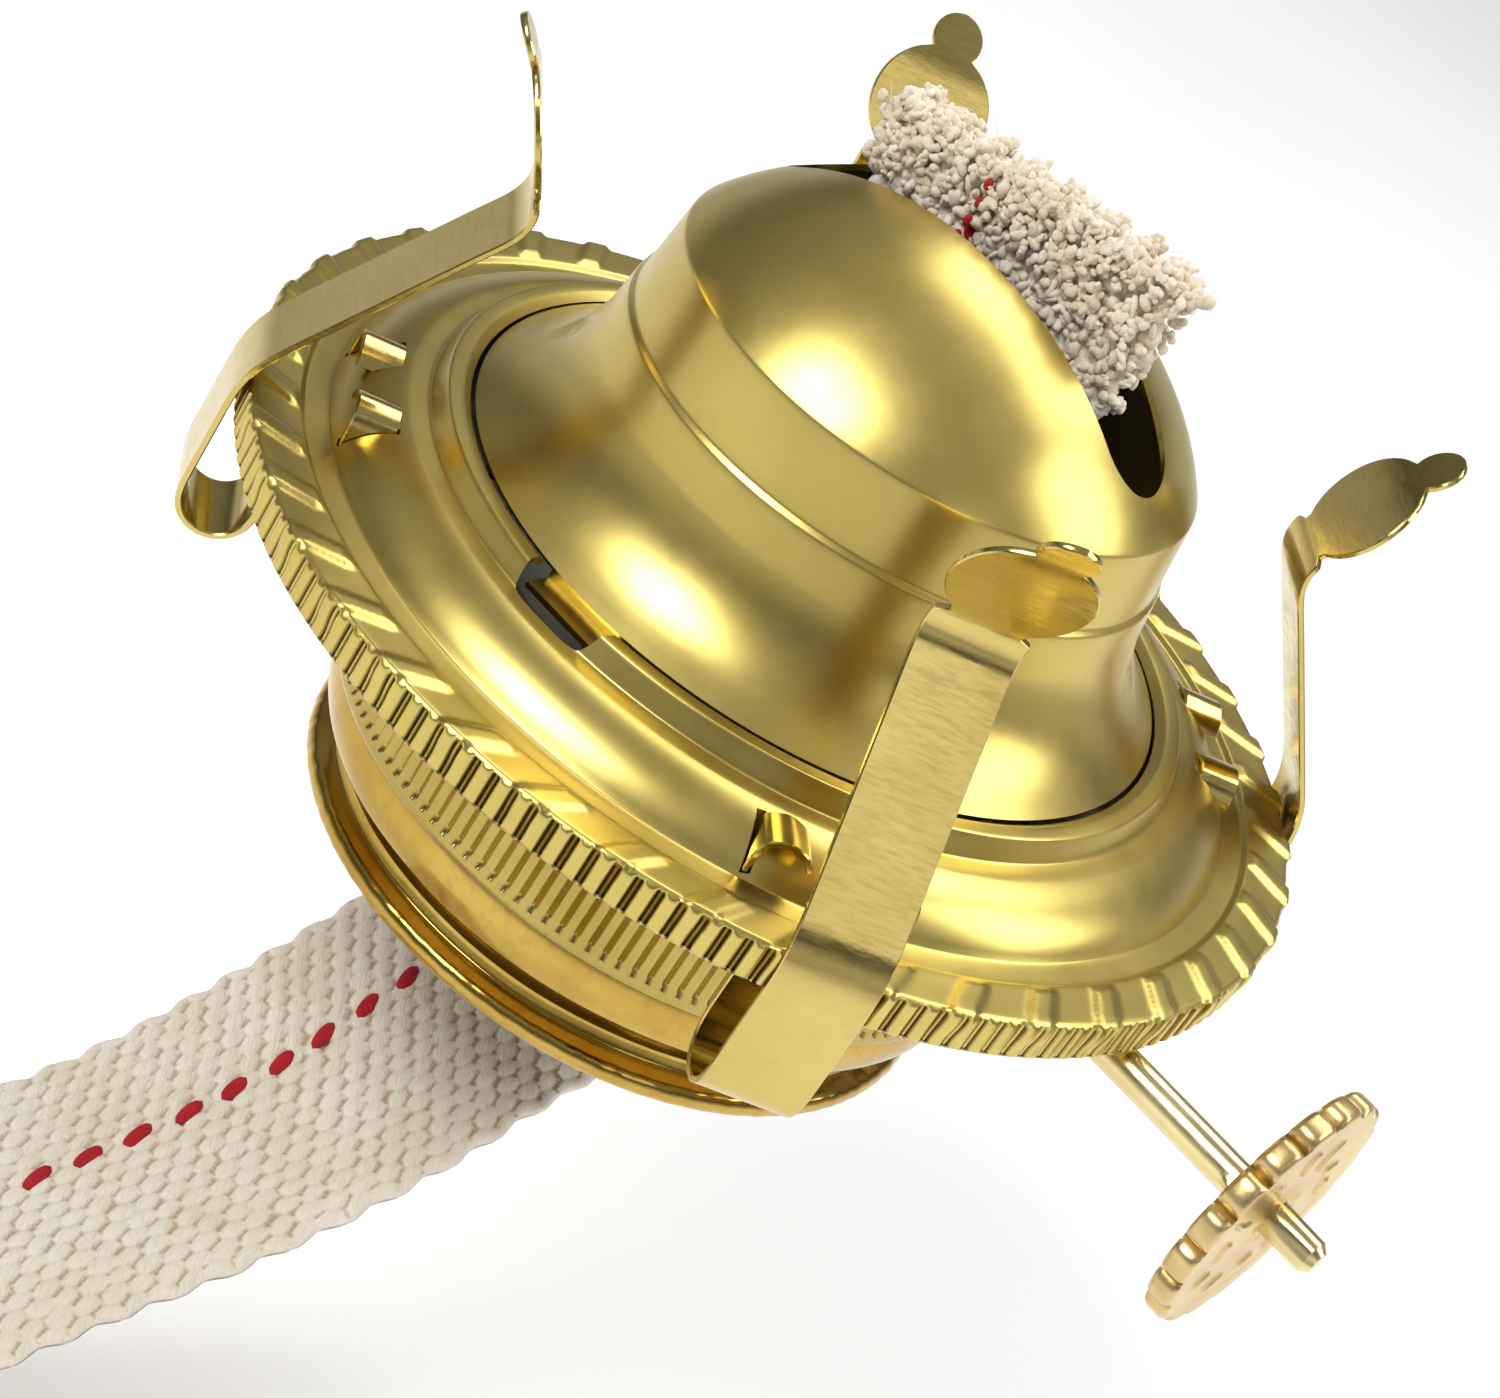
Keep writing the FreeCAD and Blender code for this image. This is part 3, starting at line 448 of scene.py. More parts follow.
# brass of the reeded rim, with painted shade in its grooves
RIMMED = metal("reeded_brass_painted_shade_look", SATIN_LIGHT, SATIN_DARK, 0.31, 0.003, peel_size=0.8, stain=0.0,
               paint_groove_shade=True)
POLISHED = metal("polished_brass_look", (0.62, 0.49, 0.165), (0.53, 0.40, 0.115), 0.15, 0.004,
                 brush=(500.0, 500.0, 4200.0), brush_depth=0.004)
DARK_GOLD = metal("body_brass_look", (0.46, 0.355, 0.10), (0.38, 0.275, 0.065), 0.17, 0.006)
ORANGE_GOLD = metal("collar_brass_look", (0.56, 0.38, 0.085), (0.40, 0.235, 0.04), 0.14, 0.006, stain=0.6)
PALE = metal("pale_brass_look", (0.80, 0.68, 0.36), (0.66, 0.52, 0.24), 0.22, 0.006,
             brush=(160.0, 4200.0, 4200.0), brush_depth=0.005)
TAN_FACE = metal("thumb_wheel_look", (0.74, 0.58, 0.28), (0.54, 0.38, 0.15), 0.34, 0.02, stain=0.6)
STEEL = metal("plated_steel_look", (0.58, 0.58, 0.53), (0.40, 0.40, 0.36), 0.34, 0.010)
GREY_PLATE = metal("air_plate_look", (0.50, 0.50, 0.44), (0.36, 0.36, 0.31), 0.45, 0.012)


def cotton(name):
    """Knitted cotton tape: cream yarn with painted shade, tan, in the crevices, with twist lines and fuzz.

    The mesh's own values drive it: tape holds each point's place on the flat tape, and loft how high it
    stands on its yarn."""
    n = Nodes(name)
    tape = n.attribute("tape").outputs["Vector"]
    loft = n.attribute("loft").outputs["Fac"]
    yarn = n.ramp(n.noise(160.0, 3.0, 0.6), [(0.3, (0.82, 0.74, 0.60)), (0.7, (0.90, 0.84, 0.73))])
    # painted shade: the yarn turns tan where it stands low (small loft), in the crevices
    colour = n.mixed(n.spread(loft, 1.0, 0.0, 0.0, 0.55), yarn, (0.55, 0.42, 0.27))
    leaning = n.mapped(tape, Rotation=(0.0, 0.0, 0.75))
    fibres = n.noise(1.0, 3.0, 0.6, n.mapped(leaning, Scale=(4.2, 0.9, 1.0)), distortion=0.3)
    colour = n.mixed(n.spread(fibres, 0.0, 0.30, 0.5, 0.8), colour, (0.66, 0.52, 0.35))
    normal = n.bump(n.noise(5200.0, 3.0, 0.7), 0.04, n.bump(fibres, 0.22))
    return n.set(Base_Color=colour, Roughness=0.95, Normal=normal, Sheen_Weight=0.25, Sheen_Roughness=0.5,
                 Subsurface_Weight=0.12, Subsurface_Radius=(0.0010, 0.0008, 0.0005), Subsurface_Scale=0.5)


def fibre(name, light, dark, clouds, light_at, hairs, depth, roughness, sheen):
    """Loose cotton or dyed thread. clouds and hairs are the scales of its colour and of its bump."""
    n = Nodes(name)
    colour = n.ramp(n.noise(clouds, 3.0, 0.6), [(0.3, dark), (light_at, light)])
    normal = n.bump(n.noise(hairs, 3.0, 0.7), depth)
    return n.set(Base_Color=colour, Roughness=roughness, Normal=normal, Sheen_Weight=sheen)


COTTON = cotton("wick_cotton_look")
FRAY = fibre("wick_fray_look", (0.88, 0.80, 0.66), (0.70, 0.58, 0.41), 700.0, 0.65, 3800.0, 0.06, 0.95, 0.25)
RED = fibre("tracer_red_look", (0.52, 0.006, 0.016), (0.34, 0.004, 0.010), 1100.0, 0.7, 4600.0, 0.05, 0.85,
            0.03)


def floor_look():
    n = Nodes("floor_look")
    colour = n.ramp(n.noise(14.0, 3.0, 0.5), [(0.3, (0.945, 0.945, 0.94)), (0.7, (0.965, 0.965, 0.96))])
    return n.set(Base_Color=colour, Roughness=0.6, Specular_IOR_Level=0.2, Emission_Strength=0.10)


def use(piece, body, slot, *nodes):
    """Gives a piece its body and hides the CAD nodes that it stands for. Its slot is not used."""
    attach(piece, body)
    if nodes:
        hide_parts(*nodes)


# ---------------- gallery
(_, _, RIM_FOOT), (RIM, _, RING_TOP) = cad_box("gallery")
BUMPS = 42
BUMP_SHARE = 0.36  # half of a bump's width, as a share of half the pitch
BUMP_SLANT = math.tan(math.radians(35.0))
BUMP_HEIGHT = 0.24
BUMP_PUSH = 0.26  # how far a bump pushes the rim outwards
BUMP_DRIFT = 0.025  # unevenness of the pitch
BORDER_MIDDLE = 41.3
REED_WIDTH = 0.085
REED_DEPTH = 0.42
SEAT_FOOT = 39.6
WINDOW_MIDDLE, WINDOW_HALF = 28.0, (3.5, 4.0)  # windows that the dome's lugs drop through
EAR_PLACE = 6.0  # half the distance between a prong's two ears


def bumps_at(theta, r):
    """How far each place of the border is up a slanted bump, from 0 to 1."""
    pitch = TAU * BORDER_MIDDLE / BUMPS
    u = theta * BORDER_MIDDLE + (r - BORDER_MIDDLE) * BUMP_SLANT
    share = np.abs((u / pitch + BUMP_DRIFT * np.sin(theta * 3)) % 1.0 - 0.5) * 2
    side = 1 - smoothstep(BUMP_SHARE - 0.12, BUMP_SHARE + 0.10, share)
    return side * smoothstep(SEAT_FOOT + 0.1, SEAT_FOOT + 0.6, r)


def reeds_at(theta):
    """Depth of the rim's double grooves, from 0 to 1."""
    share = (theta * REEDS / TAU) % 1.0
    first, second = (np.exp(-(((share - 0.5 - way * GROOVE_OFFSET) / REED_WIDTH) ** 2)) for way in (-1, 1))
    between = 0.35 * np.exp(-(((share - 0.5) / 0.10) ** 2))
    return np.clip(first + second + between, 0, 1)


def gallery_warp(theta, r, z):
    """Raises the border's bumps, cuts the rim's reeds and bends the border a little out of true."""
    top = bumps_at(theta, r) * smoothstep(27.6, 28.2, z)
    pushed = (BUMP_PUSH * bumps_at(theta, np.full_like(r, 43.2)) * smoothstep(42.2, 43.0, r)
              * smoothstep(25.8, 27.8, z))
    wall = smoothstep(43.05, 43.3, r) * smoothstep(25.2, 25.5, z) * (1 - smoothstep(28.05, 28.3, z))
    ripple = 0.03 * np.sin(theta * 5 + 1.0) + 0.02 * np.sin(theta * 11)
    return (r + pushed - REED_DEPTH * wall * reeds_at(theta),
            z + BUMP_HEIGHT * top + ripple * smoothstep(39.4, 41.0, r))


def bulging_box(middle, half):
    """Outline of a box about (middle, 0) with well rounded corners."""
    angle = np.linspace(0, TAU, 33)[:-1]
    ends = np.stack([np.abs(f(angle)) ** 0.5 * np.sign(f(angle)) for f in (np.cos, np.sin)], 1)
    return np.array([middle, 0.0]) + ends * np.array(half)


def make_gallery():
    loop = sheet_loop([
        (RIM - 0.35, RIM_FOOT), (RIM, RIM_FOOT + 0.3), (RIM, RIM_FOOT + 3.0), (43.05, 28.5),
        (SEAT_FOOT, 28.5), (39.25, 28.15), (37.3, 28.2, 6.8), (32.8, 31.6), (31.2, 31.6), (30.5, RING_TOP),
        (29.3, RING_TOP), (28.6, RING_TOP - 0.5)], 0.5, 0.11, longest=0.42, turn=7.0)
    piece = revolved("gallery_plate", loop, REEDS * 8, RIMMED, gallery_warp, sharp=50.0)
    points, faces = prism(bulging_box(WINDOW_MIDDLE, WINDOW_HALF), 28.2, RING_TOP + 2)
    tools = [(turned_about_z(points, azimuth), faces) for azimuth in LUG_AZIMUTHS]
    tools += [block((33.1, middle - 0.36, 25.0), (36.6, middle + 0.36, 33.0), azimuth)
              for azimuth in PRONG_AZIMUTHS for middle in (-EAR_PLACE, EAR_PLACE)]
    carve(piece, tools, sharp=50.0)
    use(piece, "burner", "satin_brass", "gallery")


# ---------------- dome
_, (DOME_EDGE, _, DOME_TOP) = cad_box("dome")
DIMPLES = (27.0, -153.0)
DIMPLE_DEPTH = 0.55
CAP_FOOT = 20.0  # radius where the round cap begins
CAP_MIDDLE = 36.6  # height of its centre of curvature
CAP_CURVE = 25.25
SLOT_HALF = (15.0, 3.8)


def dome_warp(theta, r, z):
    """Presses the two dimples in and dents the sheet slightly."""
    push = np.zeros_like(r)
    for azimuth in DIMPLES:
        across = ((theta - math.radians(azimuth) + math.pi) % TAU - math.pi) * 23.7
        up = z - 37.2 - 0.10 * across ** 2
        push = push + np.exp(-((across / 1.9) ** 4)) * np.exp(-((up / 0.62) ** 2)) * (z < 40)
    dents = 0.05 * np.sin(theta * 2 + 0.7) + 0.03 * np.sin(theta * 5 + z * 0.2)
    return r - DIMPLE_DEPTH * push + dents * smoothstep(33.0, 36.0, z), z


def slot_outline():
    """Outline of the dome's long slot: bowed sides and round ends."""
    x, y = SLOT_HALF
    side, end = 86.0, y + 0.02
    corners = [(-x, -y, side), (x, -y, end), (x, y, side), (-x, y, end), (-x, -y)]
    return np.concatenate([arc(a[:2], b[:2], a[2])[:-1] for a, b in zip(corners, corners[1:])])


def make_dome():
    cap_height = CAP_MIDDLE + math.sqrt(CAP_CURVE ** 2 - CAP_FOOT ** 2)
    loop = sheet_loop([
        (DOME_EDGE + 0.35, 33.0), (DOME_EDGE - 0.1, 33.35, -12.1), (22.5, 41.0), (22.0, 44.4), (21.65, 44.75),
        (20.9, 50.8), (CAP_FOOT, cap_height, CAP_CURVE), (1.0, DOME_TOP - 0.02)],
        0.45, 0.13, longest=0.9, turn=4.0)
    piece = revolved("dome_cap", loop, 720, SATIN, dome_warp, sharp=50.0)
    carve(piece, [prism(slot_outline(), 45.0, 70.0)], sharp=50.0)
    use(piece, "dome", "satin_brass", "dome")
    lug = smooth_path([(27.45, 33.25), (27.2, 32.9), (27.2, 31.45), (29.55, 31.45)], 0.12, 0.6, 8.0)
    points, faces = strip(lug, 0.45, lambda s: np.full_like(s, 3.5), 0.08)
    lugs = joined("dome_lugs", [(turned_about_z(points, azimuth), faces) for azimuth in LUG_AZIMUTHS], SATIN)
    use(lugs, "dome", "satin_brass")


# ---------------- prongs
def strip(path, thickness, half_width, bevel):
    """Points and faces of a bent strip in the (r, z) plane, with its width across that plane.

    path holds its centres and normals, and half_width(s) gives half its width at a distance s along it."""
    centre, normal = path
    half = half_width(distances(centre))
    inner = np.maximum(half - bevel, half * 0.3)
    edge = thickness / 2
    low = max(edge - bevel, edge * 0.3)
    across = (-1.0, -0.6, 0.0, 0.6, 1.0)
    section = [(-half, -low), (-half, low)] + [(inner * k, edge) for k in across]
    section += [(half, low), (half, -low)] + [(inner * k, -edge) for k in across[::-1]]
    rows = [np.stack([centre[:, 0] + normal[:, 0] * v, t, centre[:, 1] + normal[:, 1] * v], 1)
            for t, v in section]
    return closed_grid(np.stack(rows, 1))


PRONG_THICKNESS = 0.5
PRONG_BEVEL = 0.10
FINGER_BEND = (31.45, 49.2)
FINGER_DISC = (5.5, 4.9)  # distance of its middle beyond the finger's bend, and its radius
FINGER_LOBE = (11.3, 2.1)
FINGER_NECK = 9.2
EAR_RADIUS = 34.85  # distance of the ears from the burner's axis


def prong_path():
    """Middle line of a chimney prong: root, inner leg, bend at the bottom, spring arm and finger."""
    return [
        (36.2, 27.35), (38.15, 27.35), (38.65, 26.85), (38.65, 18.6, 2.85), (44.35, 18.6), (44.15, 28.0),
        (43.4, 30.4), (41.95, 32.6), (33.3, 45.3), (31.9, 47.2), FINGER_BEND, (31.9, 50.1), (35.05, 56.5),
        (36.2, 58.4), (38.25, 60.7)]


def finger_half_width(beyond):
    """Half the prong's width, by the distance beyond the finger's bend."""
    disc, lobe = (np.sqrt(np.clip(radius ** 2 - (beyond - middle) ** 2, 0, None))
                  for middle, radius in (FINGER_DISC, FINGER_LOBE))
    neck = np.where((beyond > FINGER_DISC[0]) & (beyond < FINGER_LOBE[0]), 1.7, 0.0)
    leg = 3.6 * (1 - smoothstep(0.5, 2.0, beyond))
    return np.maximum.reduce([disc, lobe, neck, leg])


def make_prongs():
    centre, normal = smooth_path(prong_path(), 0.95, longest=0.45, turn=4.0)
    along = distances(centre)
    bend = along[np.argmin(np.hypot(*(centre - FINGER_BEND).T))]
    tip = bend + FINGER_LOBE[0] + FINGER_LOBE[1]
    neck = bend + FINGER_NECK
    close = [tip - d for d in (0.01, 0.06, 0.16, 0.3, 0.5, 0.8, 1.2, 1.6)] + [neck + d for d in (0, 0.1, 0.3)]
    stations = np.sort(np.concatenate([along[along < tip - 1.8], [s for s in close if s <= along[-1]]]))
    if along[-1] < tip:
        stations = np.append(stations, along[-1])
    path = [np.stack([np.interp(stations, along, line[:, k]) for k in (0, 1)], 1)
            for line in (centre, normal)]
    missing = tip - min(tip, along[-1])

    def half(s):
        return np.maximum(finger_half_width(s - bend + missing), 0.12)

    for i, azimuth in enumerate(PRONG_AZIMUTHS, start=1):
        points, faces = strip(path, PRONG_THICKNESS, half, PRONG_BEVEL)
        piece = make_object(f"prong_{i}_strip", turned_about_z(points, azimuth), faces, POLISHED)
        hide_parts(f"prong_{i}_base", f"prong_{i}_arm")
        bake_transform(piece)
        use(make_root(f"prong_{i}_root", azimuth), "burner", "polished_brass")


def make_root(name, azimuth):
    """The prong's root under the gallery, with the two ears that come up through it and hook over."""
    side = [(2.1, 30.35), (2.7, 31.2), (4.2, 31.75), (5.6, 31.3), (EAR_PLACE, 30.1), (EAR_PLACE, 27.35)]
    path = smooth_path([(-a, b) for a, b in side] + side[::-1], 0.35, 0.5, 8.0)
    points, faces = strip(path, PRONG_THICKNESS, lambda s: np.full_like(s, 1.65), PRONG_BEVEL)
    placed = np.stack([points[:, 1] + EAR_RADIUS, points[:, 0], points[:, 2]], 1)
    return make_object(name, turned_about_z(placed, azimuth), faces, POLISHED)


# ---------------- collar and body
(_, _, COLLAR_FOOT), (_, _, COLLAR_TOP) = cad_box("collar")
BEAD_DEPTH = 0.05
FLUTES = 150
FLUTE_DEPTH = 0.45
CONE_FOOT, CONE_TOP = (28.7, 16.8), (37.5, 25.7)
AIR_HOLES = 20
AIR_HOLE_RADIUS = 1.3
AIR_HOLE_CIRCLE = 33.0
BUSH_HOLE_RADIUS = 1.92


def collar_warp(theta, r, z):
    """Knurls the bead lightly and dents the wall above it."""
    bead = smoothstep(25.6, 26.3, r) * (1 - smoothstep(2.0, 2.6, z))
    ripple = 0.5 * np.sin(theta * 97 + 1.4 * np.sin(theta * 13)) + 0.5 * np.sin(theta * 61 + z * 2)
    dents = 0.05 * np.sin(theta * 3 + 0.4) + 0.04 * np.sin(theta * 9)
    pressed = BEAD_DEPTH * bead * (0.5 + 0.5 * ripple)
    return r - pressed + dents * smoothstep(20.0, 25.0, r) * smoothstep(2, 4, z), z


def make_collar():
    loop = sheet_loop([
        (24.9, 0.35), (25.4, COLLAR_FOOT + 0.02), (25.8, COLLAR_FOOT, 1.01), (25.8, 2.0), (25.0, 2.3),
        (24.7, 3.2), (25.1, 4.4), (27.3, 6.0, 5.0), (27.5, COLLAR_TOP), (15.9, COLLAR_TOP), (15.9, 1.0)],
        0.6, 0.16, longest=0.8, turn=7.0)
    piece = revolved("collar_ring", loop, 900, ORANGE_GOLD, collar_warp)
    use(piece, "collar", "polished_brass", "collar")


def body_warp(theta, r, z):
    """Cuts the flutes into the band."""
    flute = smoothstep(28.0, 28.3, r) * smoothstep(11.3, 11.7, z) * (1 - smoothstep(15.9, 16.3, z))
    share = np.abs(np.sin(theta * FLUTES / 2))
    return r - FLUTE_DEPTH * flute * (1 - share), z


def make_body():
    loop = sheet_loop([
        (15.7, 10.3), (28.5, 10.3), (CONE_FOOT[0], 10.7), CONE_FOOT, CONE_TOP, (CONE_TOP[0], 27.65)],
        0.5, 0.14, longest=0.34, turn=7.0)
    piece = revolved("body_cone", loop, FLUTES * 8, DARK_GOLD, body_warp, sharp=45.0)
    slope = math.atan2(CONE_TOP[1] - CONE_FOOT[1], CONE_TOP[0] - CONE_FOOT[0])
    hole = np.array([AIR_HOLE_CIRCLE, 0, CONE_FOOT[1] + (AIR_HOLE_CIRCLE - CONE_FOOT[0]) * math.tan(slope)])
    out = np.array([math.sin(slope), 0, -math.cos(slope)]) * 2
    ends = np.array([hole - out, hole + out])
    tools = [rod(AIR_HOLE_RADIUS, *turned_about_z(ends, 2.0 + 360.0 / AIR_HOLES * i))
             for i in range(AIR_HOLES)]
    tools.append(rod(BUSH_HOLE_RADIUS, (30.0, -4.5, 23.3), (50.0, -4.5, 23.3)))
    tools += [block((33.2, -6.7, 26.9), (44.6, 6.7, 32.4), azimuth) for azimuth in PRONG_AZIMUTHS]
    carve(piece, tools, sharp=45.0)
    use(piece, "burner", "polished_brass", "body_shell")


# ---------------- wick raiser
(SHAFT_START, _, _), (SHAFT_END, _, _) = cad_box("shaft")
_, SHAFT_Y, SHAFT_Z = sum(cad_box("shaft")) / 2
(THUMB_INNER, _, _), (THUMB_OUTER, _, _) = cad_box("thumb_wheel")
SHAFT_RADIUS = 1.4
PIPS_AT = 54.0
THUMB_LOBES = 18
THUMB_RADIUS = 10.3
THUMB_BORE = 1.42
LOBE_DEPTH = 1.05
MARKS = 11


def about_shaft(points):
    """Moves points turned about Z so that they turn about the shaft, with z along it."""
    return np.stack([points[:, 2], points[:, 0] + SHAFT_Y, points[:, 1] + SHAFT_Z], 1)


def shaft_warp(theta, r, x):
    """Squeezes out two small pips and flattens the shaft's end."""
    pips = np.clip(np.cos(theta * 2), 0, 1) ** 6 * np.exp(-(((x - PIPS_AT) / 0.45) ** 2))
    flats = smoothstep(57.8, 58.4, x) * np.clip(np.cos(theta * 2 + 0.6), 0, 1) ** 3 * 0.14
    return r + 0.42 * pips - flats * (r > 0.5), x


def make_shaft():
    start = [(0.05, SHAFT_START), (1.1, SHAFT_START), (SHAFT_RADIUS, SHAFT_START + 0.3)]
    near_pips = PIPS_AT + 0.4 * np.arange(-3, 4)
    middle = [(SHAFT_RADIUS, x) for x in (31.0, 38.5, *near_pips, 57.3, 58.0)]
    end = [(1.38, 59.0), (1.36, 60.2), (1.34, 61.1), (1.0, 61.5), (0.85, SHAFT_END), (0.05, SHAFT_END)]
    points, faces = turned(np.array(start + middle + end), 64, shaft_warp)
    piece = make_object("raiser_shaft", about_shaft(points), faces, PALE)
    use(piece, "wick_raiser", "pale_brass", "shaft")


def thumb_marks(x, y):
    """Height of the generic raised marks on the thumb wheel's face: short strokes and dots in a ring."""
    own = np.random.default_rng(5)
    height = np.zeros_like(x)
    for i in range(MARKS):
        angle = TAU * i / MARKS + own.uniform(-0.12, 0.12)
        centre = own.uniform(5.3, 6.9) * np.array([math.cos(angle), math.sin(angle)])
        lean = own.uniform(0, math.pi)
        dx, dy = x - centre[0], y - centre[1]
        along = dx * math.cos(lean) + dy * math.sin(lean)
        across = dy * math.cos(lean) - dx * math.sin(lean)
        length, width = own.uniform(0.35, 1.2), own.uniform(0.24, 0.36)
        far = np.hypot(np.maximum(np.abs(along) - length, 0), across + 0.16 * along ** 2)
        height = np.maximum(height, 1 - smoothstep(width * 0.5, width * 1.5, far))
    return height


def make_thumb_wheel():
    """A scalloped disc with a crimped middle, a dished face with marks and a raised rim."""
    half = (THUMB_OUTER - THUMB_INNER) / 2
    middle = (THUMB_OUTER + THUMB_INNER) / 2
    front = [THUMB_BORE, 1.6, 1.9, 2.2, 2.5, 2.8, 3.1, *np.arange(3.35, 8.6, 0.17), 8.8, 9.0, 9.3, 9.6]
    corner = [(9.85, half, 0.55), (10.05, half - 0.07, 0.9), (10.2, half - 0.22, 1),
              (THUMB_RADIUS, half - 0.45, 1)]
    rings = [(r, half, 0) for r in front] + corner + [(THUMB_RADIUS, 0, 1)]
    rings += [(r, -h, share) for r, h, share in reversed(corner)]
    rings += [(r, -half, 0) for r in (9.4, 8.6, 6.0, 3.4, 3.0, 2.7, THUMB_BORE)]
    deep = np.array([share for _, _, share in rings])
    is_front = (np.arange(len(rings)) < len(front)) * 1.0

    def warp(theta, r, h):
        lobe = 1 - (1 - np.abs(np.sin(theta * THUMB_LOBES / 2))) ** 2.2
        r = r - LOBE_DEPTH * (1 - lobe) * deep
        crimp = np.exp(-(((r - 2.25) / 0.42) ** 2)) * (0.55 + 0.45 * np.cos(theta * 9)) * 0.22
        dish = -0.10 * smoothstep(2.8, 3.4, r) * (1 - smoothstep(7.9, 8.5, r))
        rim = 0.048 * smoothstep(8.3, 8.9, r)
        marks = 0.20 * thumb_marks(r * np.cos(theta), r * np.sin(theta))
        return r, h + is_front * (marks + crimp + dish + rim - 0.05) + middle

    points, faces = turned(np.array([(r, h) for r, h, _ in rings]), THUMB_LOBES * 24, warp)
    piece = make_object("thumb_disc", about_shaft(points), faces, TAN_FACE, 40.0)
    use(piece, "wick_raiser", "pale_brass", "thumb_wheel")


# ---------------- wick
(WICK_LEFT, _, _), (WICK_RIGHT, WICK_DEPTH, _) = cad_box("wick_upper")
WICK_MIDDLE = (WICK_LEFT + WICK_RIGHT) / 2
WICK_HALF = (WICK_RIGHT - WICK_LEFT) / 2
WICK_TOP = 61.0  # the tape's end, under the fray
BEND_START = -11.6  # height where the hanging tail begins to bend
BEND_RADIUS = 9.0
SLOPE = math.radians(26.8)  # of the tail beyond the bend, below the level
BEND_END = BEND_START - BEND_RADIUS * math.cos(SLOPE)
RUN = 91.5  # length of the tail beyond the bend
DRIFT = -4.1  # how far the tail moves sideways down to the bend's end
ROLL = math.radians(-5.0)  # of the tail about its length
VEER = math.radians(14.0)
ROW = 1.32  # distance between rows of yarn
STITCH = 4.3  # distance between tracer stitches
YARN = STITCH / 2  # length of a yarn bump's pitch


def wick_route(step):
    """The wick's centres, ways and rolls: straight down, round the bend, then along the sloping tail."""
    turn = math.pi / 2 - SLOPE
    stations = []
    for z in np.arange(WICK_TOP, BEND_START, -step):
        lean = DRIFT * min(z, 0.0) / BEND_END
        stations.append(((WICK_MIDDLE + lean, 0.0, z), (0.0, 0.0, -1.0), 0.0))
    for a in np.linspace(0, turn, int(BEND_RADIUS * turn / step)):
        z = BEND_START - BEND_RADIUS * math.sin(a)
        centre = (WICK_MIDDLE + DRIFT * z / BEND_END, BEND_RADIUS * (math.cos(a) - 1), z)
        stations.append((centre, (0.0, -math.sin(a), -math.cos(a)), ROLL * smoothstep(0.0, 1.0, a / turn)))
    centre = np.array(centre)
    for d in np.arange(step, RUN, step):
        veer = -VEER * smoothstep(0.0, 0.36, d / RUN)
        flat = math.cos(SLOPE)
        way = np.array([math.sin(veer) * flat, -math.cos(veer) * flat, -math.sin(SLOPE)])
        centre = centre + way * step
        stations.append((centre, way, ROLL))
    centres, ways, rolls = zip(*stations)
    return np.array(centres), np.array(ways), rolls


def wick_rails():
    """Frames down the wick: centres, directions of its width and thickness, its way, and distances."""
    centres, ways, rolls = wick_route(step=0.32)
    kernel = np.hanning(19)[1:-1]
    kernel /= kernel.sum()
    reach = len(kernel) // 2
    padded = np.concatenate([np.repeat(ways[:1], reach, 0), ways, np.repeat(ways[-1:], reach, 0)])
    ways = np.stack([np.convolve(padded[:, k], kernel, "valid") for k in range(3)], 1)
    ways /= np.linalg.norm(ways, axis=1)[:, None]
    level = np.stack([-ways[:, 1], ways[:, 0], np.zeros(len(ways))], 1)
    level[np.linalg.norm(level, axis=1) < 1e-6] = (1, 0, 0)
    level /= np.linalg.norm(level, axis=1)[:, None]
    for i, roll in enumerate(rolls):
        level[i] = np.array(Matrix.Rotation(-roll, 3, Vector(ways[i])) @ Vector(level[i]))
    return centres, level, np.cross(ways, level), ways, distances(centres)


def scatter(row, place, salt):
    """A repeatable number from -1 to 1 for each yarn bump."""
    return np.modf(np.sin(row * 12.9898 + place * 78.233 + salt) * 43758.5453)[0]


def yarn_height(u, s):
    """Height of the knitted yarns from 0 to 1: plump tilted ovals, those of neighbouring rows staggered."""
    nearest = np.round(u / ROW)
    height = np.zeros(np.broadcast(u, s).shape)
    for shift in (-1, 0, 1):
        row = nearest + shift
        offset = 0.5 * (row % 2)
        place = np.round(s / YARN - offset)
        for step in (-1, 0, 1):
            bump = place + step
            du = u - row * ROW - 0.09 * scatter(row, bump, 1.0)
            ds = s - (bump + offset) * YARN - 0.10 * scatter(row, bump, 2.0)
            tilt = 0.30 + 0.16 * scatter(row, bump, 3.0)
            across, along = du - tilt * ds, ds + tilt * 0.5 * du
            size = 1.0 + 0.08 * scatter(row, bump, 4.0)
            oval = 1 - (across / (0.80 * size)) ** 2 - (np.abs(along) / (1.22 * size)) ** 2.4
            loft = 0.94 + 0.10 * scatter(row, bump, 5.0)
            height = np.maximum(height, np.sqrt(np.clip(oval, 0, 1)) * loft)
    return height


def tail_wave(s, lead, lag):
    """Gentle waves of the hanging tail through its thickness, at distances s down the wick."""
    wave = 0.22 * np.sin(s / 9.0 + lead) + 0.12 * np.sin(s / 4.1 - lag)
    return wave * smoothstep(70.0, 90.0, s) * 0.9


